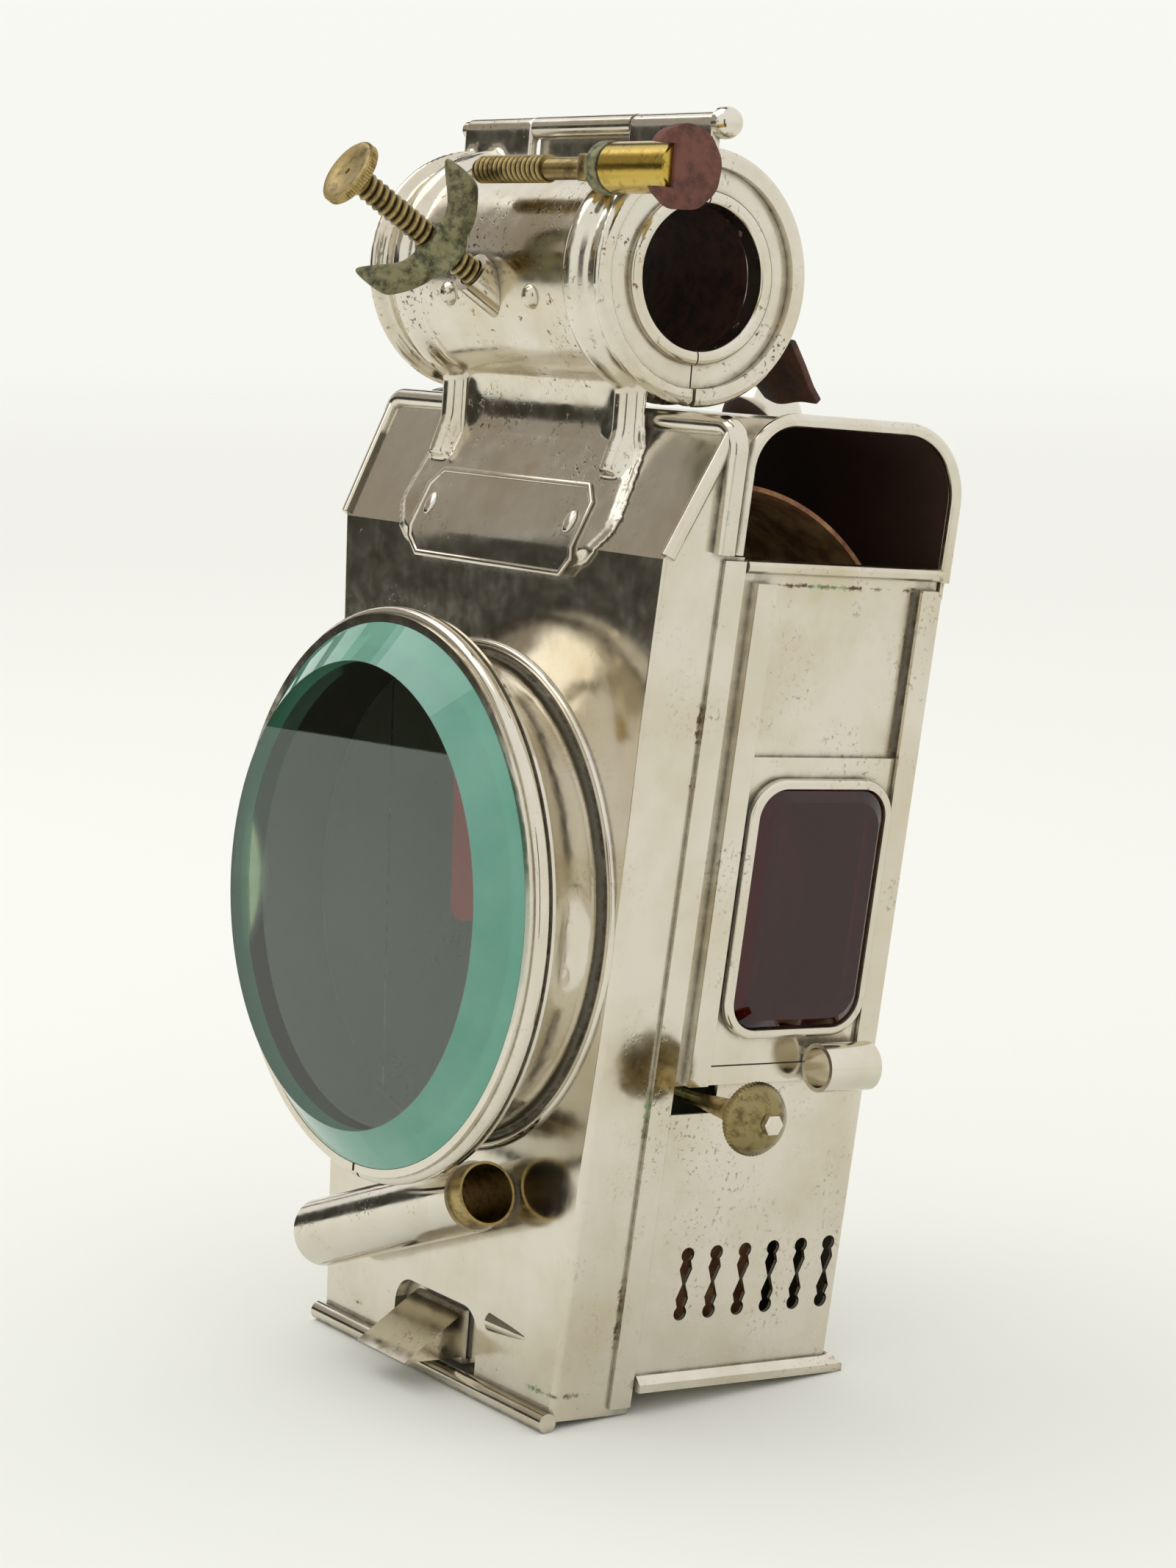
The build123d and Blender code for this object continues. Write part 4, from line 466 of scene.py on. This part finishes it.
rust_tin = blotched("rusted_tinplate", "#74422c", "#b08455", 0.12, 0.72, 0.0003, 1.2)
hide = blotched("cattle_hide_brown", "#5a3423", "#2f1c14", 0.25, 0.62, 0.0003, 2.2)
red_hide = blotched("cattle_hide_washer", "#6e4236", "#4d2c24", 0.35, 0.78, 0.0003, 2.6)
cotton = blotched("woven_cotton_wick", "#cfc4a6", "#8c7c5c", 0.4, 0.9, 0.0003, 3.0)
silvered = blotched("tarnished_silver", "#c9c4b4", "#8c8468", 0.06, 0.22, 0.0001, 0.5, metallic=1.0)
dress(rust_tin, "inner_cowl", "oil_font")
dress(hide, "leather_flap", "front_liner", "rear_liner")
dress(red_hide, "stop_washer")
dress(cotton, "wick")
dress(silvered, "reflector")

# %% [markdown]
# The screws, the nut and the washer are small, but they are what a hand goes to first. Each is modelled in its
# own millimetres, standing on its own axis, as on a lathe. One helper then carries it to its place on the lamp,
# bakes that place into the mesh, and hides the CAD node it stands for.
# %% Bringing a piece to its place
SCREW_FOOT, SCREW_TILT = Vector((0, 0.622, 182.946)), math.radians(29.5)
STOP_PLACE = Vector((0, -5.5, 206.1))
WINDER_PLACE = Vector((0, 22.0, 51.6))
quarter_turn = math.radians(90)
on_screw = Matrix.Translation(SCREW_FOOT) @ Matrix.Rotation(quarter_turn - SCREW_TILT, 4, "X")
on_stop = Matrix.Translation(STOP_PLACE) @ Matrix.Rotation(quarter_turn, 4, "Y")
on_winder = Matrix.Translation(WINDER_PLACE) @ Matrix.Rotation(quarter_turn, 4, "Y")
on_lamp = Matrix.Identity(4)


def pick(piece):
    """Make one piece the only selected one, and the active one."""
    bpy.ops.object.select_all(action="DESELECT")
    bpy.context.view_layer.objects.active = piece
    piece.select_set(True)


def apply(piece, kind, **settings):
    """Add a modifier with its settings and apply it."""
    pick(piece)
    modifier = piece.modifiers.new(kind.lower(), kind)
    for name, value in settings.items():
        setattr(modifier, name, value)
    bpy.ops.object.modifier_apply(modifier=modifier.name)


def join(first, *others):
    """Make one object of several closed shells."""
    pick(first)
    for piece in others:
        piece.select_set(True)
    bpy.ops.object.join()
    return first


def settle(piece, name, place, body, finish, replaced, smooth=35):
    """Bake the piece's place into its mesh, smooth it, give it its finish and let it ride."""
    pick(piece)
    piece.matrix_world = lamp_to_scene @ place @ piece.matrix_world
    bpy.ops.object.transform_apply(location=True, rotation=True, scale=True)
    bpy.ops.object.shade_smooth_by_angle(angle=math.radians(smooth))
    piece.name = piece.data.name = name
    piece.data.materials.clear()
    piece.data.materials.append(finish)
    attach(piece, body)
    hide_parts(*replaced)
    print(name, "has", len(piece.data.polygons), "faces")


print("the stop screw's axis is", STOP_PLACE.z, "mm up")


# %% [markdown]
# Edit mode works on what is selected. Two of these helpers clear the selection, pick out the faces or the edges that
# pass a test, and leave the piece in edit mode for the next step. One turns all faces outward, and one makes a
# plain block.
# %% Picking out faces and edges
def pick_nothing(piece, kind):
    """Leave none of a mesh's faces or edges selected, in object mode."""
    pick(piece)
    bpy.ops.object.mode_set(mode="EDIT")
    bpy.ops.mesh.select_mode(type=kind)
    bpy.ops.mesh.select_all(action="DESELECT")
    bpy.ops.object.mode_set(mode="OBJECT")


def faces_where(piece, wanted):
    """Select the faces that a test picks out, and go to edit mode."""
    pick_nothing(piece, "FACE")
    for face in piece.data.polygons:
        face.select = wanted(face)
    bpy.ops.object.mode_set(mode="EDIT")


def edges_where(piece, wanted):
    """Select the edges whose two ends a test picks out, and go to edit mode."""
    pick_nothing(piece, "EDGE")
    corners = piece.data.vertices
    for edge in piece.data.edges:
        edge.select = wanted(corners[edge.vertices[0]].co, corners[edge.vertices[1]].co)
    bpy.ops.object.mode_set(mode="EDIT")


def face_outward():
    """Turn all of a mesh's faces outward, and leave edit mode."""
    bpy.ops.mesh.select_all(action="SELECT")
    bpy.ops.mesh.normals_make_consistent(inside=False)
    bpy.ops.object.mode_set(mode="OBJECT")


def block(middle, sizes):
    """A plain block."""
    bpy.ops.mesh.primitive_cube_add(size=1, location=middle)
    piece = bpy.context.object
    piece.scale = sizes
    bpy.ops.object.transform_apply(location=True, scale=True)
    return piece


print("pieces so far:", len(nodes), "CAD nodes")


# %% [markdown]
# A screw thread is a tooth swept along a helix. One tooth's profile is a bent line as tall as the pitch. The Screw
# modifier carries it round and up, once for each turn. Cutting the ragged ends off square closes the rod. The
# whole thread is modelled, because light picks out each turn.
# %% A threaded rod
THREAD_CORE, THREAD_CREST, THREAD_PITCH = 1.95, 2.38, 1.45


def threaded_rod(low, high):
    """A closed rod along Z from low to high, with a cut thread."""
    bpy.ops.mesh.primitive_circle_add(vertices=3, radius=1)
    rod = bpy.context.object
    start = low - 1.5 * THREAD_PITCH
    tooth = ((THREAD_CORE, 0, start), (THREAD_CREST, 0, start + THREAD_PITCH / 2),
             (THREAD_CORE, 0, start + THREAD_PITCH))
    for corner, place in zip(rod.data.vertices, tooth):
        corner.co = place
    edges_where(rod, lambda a, b: abs(a.x - b.x) < 1e-6)
    bpy.ops.mesh.delete(type="EDGE")
    bpy.ops.object.mode_set(mode="OBJECT")
    apply(rod, "SCREW", axis="Z", steps=24, render_steps=24, screw_offset=THREAD_PITCH,
          iterations=int((high - low) / THREAD_PITCH) + 3, use_normal_calculate=True)
    for cut, keep_below in ((low, False), (high, True)):
        faces_where(rod, lambda face: True)
        bpy.ops.mesh.remove_doubles(threshold=0.002)
        bpy.ops.mesh.select_all(action="SELECT")
        bpy.ops.mesh.bisect(plane_co=(0, 0, cut), plane_no=(0, 0, 1), use_fill=True,
                            clear_inner=not keep_below, clear_outer=keep_below)
        bpy.ops.object.mode_set(mode="OBJECT")
    faces_where(rod, lambda face: True)
    face_outward()
    groove = rod.data.attributes.new("groove", "FLOAT", "POINT")
    for v, depth in zip(rod.data.vertices, groove.data):
        out_to = Vector((v.co.x, v.co.y)).length
        depth.value = min(1, max(0, (THREAD_CREST - out_to) / (THREAD_CREST - THREAD_CORE)))
    return rod


print("the thread is", round(THREAD_CREST - THREAD_CORE, 2), "mm deep")


# %% [markdown]
# What comes off a lathe is a disc drawn up along its axis and made wider or narrower as it goes. A milled rim for
# the fingers has every other upright edge pressed in.
# %% Turned pieces and milled rims
def turned(profile, sides=64):
    """A closed turned piece: a disc at the first radius and height, extruded and resized to each of the next."""
    radius, height = profile[0]
    bpy.ops.mesh.primitive_circle_add(vertices=sides, radius=radius, fill_type="NGON", location=(0, 0, height))
    piece = bpy.context.object
    bpy.ops.object.transform_apply(location=True)
    faces_where(piece, lambda face: True)
    for next_radius, next_height in profile[1:]:
        bpy.ops.mesh.extrude_region_move(TRANSFORM_OT_translate={"value": (0, 0, next_height - height)})
        factor = next_radius / radius
        bpy.ops.transform.resize(value=(factor, factor, 1), center_override=(0, 0, next_height))
        radius, height = next_radius, next_height
    face_outward()
    return piece


def mill(piece, radius, low, high, depth):
    """Press every other upright edge of a turned rim inwards, which leaves a milled edge."""
    sides = [v for v in piece.data.vertices if low - 0.01 < v.co.z < high + 0.01
             and abs(Vector((v.co.x, v.co.y)).length - radius) < 0.02]
    count = len({round(math.atan2(v.co.y, v.co.x), 3) for v in sides})
    for v in sides:
        step = round(math.atan2(v.co.y, v.co.x) / (2 * math.pi) * count)
        if step % 2:
            v.co.x *= 1 - depth / radius
            v.co.y *= 1 - depth / radius
    print("milled", count // 2, "teeth")


# %% [markdown]
# The thumb screw is turned from brass: a thread, a short neck, and a broad head with a milled rim for the fingers.
# Its face is slightly dished inside a low rim and keeps the small pip the lathe left in the middle.
# %% Thumb screw
HEAD_RADIUS, HEAD_MILLING = 5.9, 0.2
thread = threaded_rod(4.0, 39.2)
head = turned([(2.6, 38.6), (3.6, 38.9), (5.5, 39.0), (HEAD_RADIUS, 39.25), (HEAD_RADIUS, 40.55), (5.5, 40.85),
               (4.6, 40.95), (3.4, 40.75), (1.2, 40.6), (0.55, 40.6), (0.45, 40.2)], sides=128)
mill(head, HEAD_RADIUS, 39.2, 40.6, HEAD_MILLING)
settle(join(thread, head), "thumb_screw_turned", on_screw, "thumb_screw", worn_brass, ("thumb_screw",))

# %% [markdown]
# A wing nut is cast in sand: a bell-shaped hub and two thick rounded ears run into each other with no hard edge.
# The ears start as blocks that are extruded outward and up. Remeshing hub and ears together welds them into one
# skin and Smooth rounds it, as the sand mould does.
# %% Wing nut
WING_TURN = math.radians(21)
EAR_OUT, EAR_UP, EAR_BLOCK = 2.6, 18.6, (2.4, 4.6, 6.0)
# How far each step of an ear goes out and up, and how much taller it gets.
EAR_STEPS = ((2.4, 0.5, 1.05), (2.6, 2.2, 1.3), (2.6, 2.6, 1.1), (1.3, 0.9, 0.9))
EAR_THINNING = 0.96
hub = turned([(4.0, 15.9), (4.1, 16.3), (4.1, 17.0), (3.7, 17.6), (3.4, 19.0), (3.2, 21.0), (3.0, 21.8),
              (2.6, 21.9)], sides=48)
ears = []
for side in (-1, 1):
    ear = block((side * EAR_OUT, 0, EAR_UP), EAR_BLOCK)
    for step_out, step_up, grow in EAR_STEPS:
        faces_where(ear, lambda face: face.center.x * side == max(f.center.x * side for f in ear.data.polygons))
        bpy.ops.mesh.extrude_region_move(TRANSFORM_OT_translate={"value": (side * step_out, 0, step_up)})
        bpy.ops.transform.resize(value=(1, EAR_THINNING, grow))
        bpy.ops.object.mode_set(mode="OBJECT")
    apply(ear, "SUBSURF", levels=3, render_levels=3)
    ears.append(ear)
nut = join(hub, *ears)
apply(nut, "REMESH", mode="VOXEL", voxel_size=0.28)
apply(nut, "SMOOTH", factor=0.5, iterations=5)
on_nut = on_screw @ Matrix.Rotation(quarter_turn - WING_TURN, 4, "Z")
settle(nut, "wing_nut_cast", on_nut, "wing_nut", oxide_brass, ("wing_nut",), smooth=80)

# %% [markdown]
# The stop screw lies along the barrel. It has the same thread, rounded at its tip, then a bare neck with a square
# for a key. The brass sleeve at the neck's end carries a slotted washer of thick leather.
# %% Stop screw
thread = threaded_rod(-4.2, 16.8)
tip = turned([(0.9, -5.2), (1.5, -5.0), (1.95, -4.5), (2.0, -4.0)], sides=32)
neck = turned([(1.9, 16.0), (1.9, 27.5), (2.1, 27.6), (2.1, 27.7), (1.9, 27.8), (1.9, 53.3)], sides=32)
square = block((0, 0, 29.2), (4.4, 4.4, 2.8))
apply(square, "BEVEL", width=0.35, segments=2)
settle(join(thread, tip, neck, square), "stop_screw_turned", on_stop, "stop_screw", worn_brass,
       ("stop_screw",))

# %% [markdown]
# The washer is a thick leather disc, cut by hand from hide with a few straight strokes of a knife, so its outline
# is not quite round. A round seat is sunk in its back, and a slot runs from the seat out to the edge. Its cut
# edge is a little rounded.
# %% Leather washer
WASHER_BACK, WASHER_THICK, WASHER_RADIUS, KNIFE_STROKES = 53.5, 2.3, 7.1, 9
SEAT_RADIUS, SLOT_WIDE = 4.25, 7.0
bpy.ops.mesh.primitive_circle_add(vertices=KNIFE_STROKES, radius=WASHER_RADIUS, fill_type="NGON",
                                  location=(0, 0, WASHER_BACK), rotation=(0, 0, math.radians(13)))
washer = bpy.context.object
bpy.ops.object.transform_apply(location=True, rotation=True)
faces_where(washer, lambda face: True)
bpy.ops.mesh.bevel(offset=1.3, segments=3, affect="VERTICES")
bpy.ops.mesh.select_all(action="SELECT")
bpy.ops.mesh.extrude_region_move(TRANSFORM_OT_translate={"value": (0, 0, WASHER_THICK)})
face_outward()
bpy.ops.mesh.primitive_cylinder_add(vertices=48, radius=SEAT_RADIUS, depth=2.9, location=(0, 0, 53.4))
seat = bpy.context.object
slot = block((0, -7.3, 54), (SLOT_WIDE, 10.0, 6.0))
for tool in (seat, slot):
    apply(washer, "BOOLEAN", operation="DIFFERENCE", object=tool, solver="EXACT")
    bpy.data.objects.remove(tool)
apply(washer, "BEVEL", width=0.3, segments=2, limit_method="ANGLE", angle_limit=math.radians(50))
settle(washer, "stop_washer_leather", on_stop, "lamp_front", red_hide, ("stop_washer",), smooth=50)

# %% [markdown]
# The winder's knob is a brass mushroom: a domed face for the fingertip over a milled rim.
# %% Winder knob
KNOB_RADIUS, KNOB_MILLING = 6.3, 0.22
knob = turned([(3.0, 57.62), (5.4, 57.7), (6.0, 57.85), (KNOB_RADIUS, 58.1), (KNOB_RADIUS, 59.1), (6.0, 59.5),
               (5.3, 60.6), (4.3, 61.6), (3.1, 62.35), (1.8, 62.78), (0.6, 62.88)], sides=112)
mill(knob, KNOB_RADIUS, 58.1, 59.1, KNOB_MILLING)
settle(knob, "winder_knob_turned", on_winder, "wick_winder", knob_brass, ("winder_knob",))

# %% [markdown]
# The maker's plate is a thin stamping, bent over the fold where the panel turns into the facet, with its corners
# cut off. A raised border runs round it and a rivet mark sits at each end. The lettering is left off.
# %% Nameplate
PLATE_LOW, PLATE_HIGH, PLATE_HALF, FOLD = 138.4, 154.5, 26.0, 143.6
FACET_SLOPE = 9.800 / 21.0
PLATE_FRONT, PLATE_THICK = 1.80, 0.5
CORNER_CUT, BORDER_WIDE, BORDER_STEP, BORDER_HIGH = 3.0, 0.75, 0.25, 0.28
MARK_OUT, MARK_UP = 22.2, 4.2
bpy.ops.mesh.primitive_plane_add(size=1, location=(0, 0, (PLATE_LOW + PLATE_HIGH) / 2),
                                 rotation=(quarter_turn, 0, 0))
plate = bpy.context.object
plate.scale = (2 * PLATE_HALF, PLATE_HIGH - PLATE_LOW, 1)
bpy.ops.object.transform_apply(location=True, rotation=True, scale=True)
faces_where(plate, lambda face: True)
bpy.ops.mesh.bevel(offset=CORNER_CUT, segments=1, affect="VERTICES")
bpy.ops.mesh.select_mode(type="FACE")
bpy.ops.mesh.select_all(action="SELECT")
bpy.ops.mesh.inset(thickness=BORDER_WIDE, depth=0)
bpy.ops.mesh.inset(thickness=BORDER_STEP, depth=-BORDER_HIGH)
bpy.ops.mesh.select_all(action="SELECT")
bpy.ops.mesh.bisect(plane_co=(0, 0, FOLD), plane_no=(0, 0, 1))
bpy.ops.object.mode_set(mode="OBJECT")
for v in plate.data.vertices:
    v.co.y -= PLATE_FRONT - max(0, v.co.z - FOLD) * FACET_SLOPE
apply(plate, "SOLIDIFY", thickness=PLATE_THICK, offset=-1)
apply(plate, "BEVEL", width=0.12, segments=2, limit_method="ANGLE", angle_limit=math.radians(40))
marks = []
for side in (-1, 1):
    mark_place = (side * MARK_OUT, 0.15 - PLATE_FRONT + MARK_UP * FACET_SLOPE, FOLD + MARK_UP)
    bpy.ops.mesh.primitive_uv_sphere_add(segments=24, ring_count=12, radius=1, location=mark_place)
    mark = bpy.context.object
    mark.scale = (1.5, 0.55, 2.2)
    mark.rotation_euler.x = -math.atan(FACET_SLOPE)
    bpy.ops.object.transform_apply(location=True, rotation=True, scale=True)
    marks.append(mark)
settle(join(plate, *marks), "nameplate_stamped", on_lamp, "lamp_front", plate_nickel,
       ("nameplate",), smooth=40)

# %% [markdown]
# The front glass is a thick disc of plate with parallel faces, ground to a broad bevel. Seen at a slant, it sets
# what is behind it a little to one side. Its back stays flat, so the far ruby window shows through it undistorted.
# %% Front glass
GLASS_RADIUS, GLASS_BACK, GLASS_FRONT, BEVEL_DEEP = 47.15, 16.60, 25.00, 5.60
on_lens = Matrix.Translation(Vector((0, 0, GLASS_MIDDLE))) @ Matrix.Rotation(quarter_turn, 4, "X")
disc = turned([(GLASS_RADIUS - 0.4, GLASS_BACK), (GLASS_RADIUS, GLASS_BACK + 0.4),
               (GLASS_RADIUS, GLASS_FRONT - BEVEL_DEEP), (FLAT_RADIUS, GLASS_FRONT)], sides=160)
settle(disc, "lens_plate_ground", on_lens, "lamp_front", lens_finish, ("lens_glass",), smooth=8)

# %% [markdown]
# Behind the barrel the end of the leather lining hangs free. It was cut with scissors and has dried stiff, so it
# keeps a curl at its corners and its lower edge is not straight. A grid is bent along its hang, then thickened.
# %% Loose leather flap
HANG = [Vector((0, 34.2, 181.2)), Vector((0, 37.3, 176.6)), Vector((0, 39.5, 173.0)), Vector((0, 41.6, 170.6))]
HANG_STEPS = len(HANG) - 1
FLAP_OUT, FLAP_HALF, FLAP_NARROWING, FLAP_CURL, FLAP_WAVE, FLAP_THICK = 27, 8.6, 0.9, 0.5, 0.35, 1.3
bpy.ops.mesh.primitive_grid_add(x_subdivisions=14, y_subdivisions=12, size=1, location=(0, 0, 0))
flap = bpy.context.object
for v in flap.data.vertices:
    across, down = v.co.x * 2, 0.5 - v.co.y
    step = min(HANG_STEPS - 1, int(down * HANG_STEPS))
    on_hang = HANG[step].lerp(HANG[step + 1], down * HANG_STEPS - step)
    curl = FLAP_CURL * across * across * down
    wave = FLAP_WAVE * math.sin(4 * across) * down
    v.co = on_hang + Vector((FLAP_OUT + across * (FLAP_HALF - FLAP_NARROWING * down), curl, wave + curl))
apply(flap, "SMOOTH", factor=0.5, iterations=3)
apply(flap, "SOLIDIFY", thickness=FLAP_THICK, offset=0)
apply(flap, "BEVEL", width=0.25, segments=2, limit_method="ANGLE", angle_limit=math.radians(60))
settle(flap, "leather_flap_cut", on_lamp, "clamp_rear", hide, ("leather_flap",), smooth=50)

# %% [markdown]
# The bracket is one pressing: its two legs swell out of the plate and flow into the barrel without an edge. The
# CAD solid has the right form but meets itself in sharp corners, as CAD does. A copy of it is merged, remeshed
# finely and smoothed, so that every inside corner is rounded the way sheet comes out of a press. Last, a shallow
# cove is pushed in across its front below the barrel, running out towards the sides.
# %% Pressed hub bracket
COVE_LOW, COVE_HIGH, COVE_DEPTH = 161.0, 171.0, 0.9
COVE_BACK, COVE_HALF, COVE_RUN_OUT = 11, 23, 5
bracket = nodes["hub_bracket"].copy()
bracket.data = nodes["hub_bracket"].data.copy()
bracket.parent = None
for label in list(bracket.keys()):
    del bracket[label]
bpy.context.scene.collection.objects.link(bracket)
bracket.data.transform(lamp_to_scene.inverted())
apply(bracket, "WELD", merge_threshold=0.002)
apply(bracket, "REMESH", mode="VOXEL", voxel_size=0.5)
apply(bracket, "SMOOTH", factor=0.5, iterations=6)
for v in bracket.data.vertices:
    if COVE_LOW < v.co.z < COVE_HIGH and v.co.y < COVE_BACK:
        along = min(1, max(0, (COVE_HALF - abs(v.co.x)) / COVE_RUN_OUT))
        v.co.y += COVE_DEPTH * math.sin(math.pi * (v.co.z - COVE_LOW) / (COVE_HIGH - COVE_LOW)) * along
settle(bracket, "hub_bracket_pressed", on_lamp, "lamp_front", barrel_nickel,
       ("hub_bracket",), smooth=180)

# %% [markdown]
# Last, the number of finishes on hand is printed.
# %% Finish
print("finishes on hand:", len(bpy.data.materials))
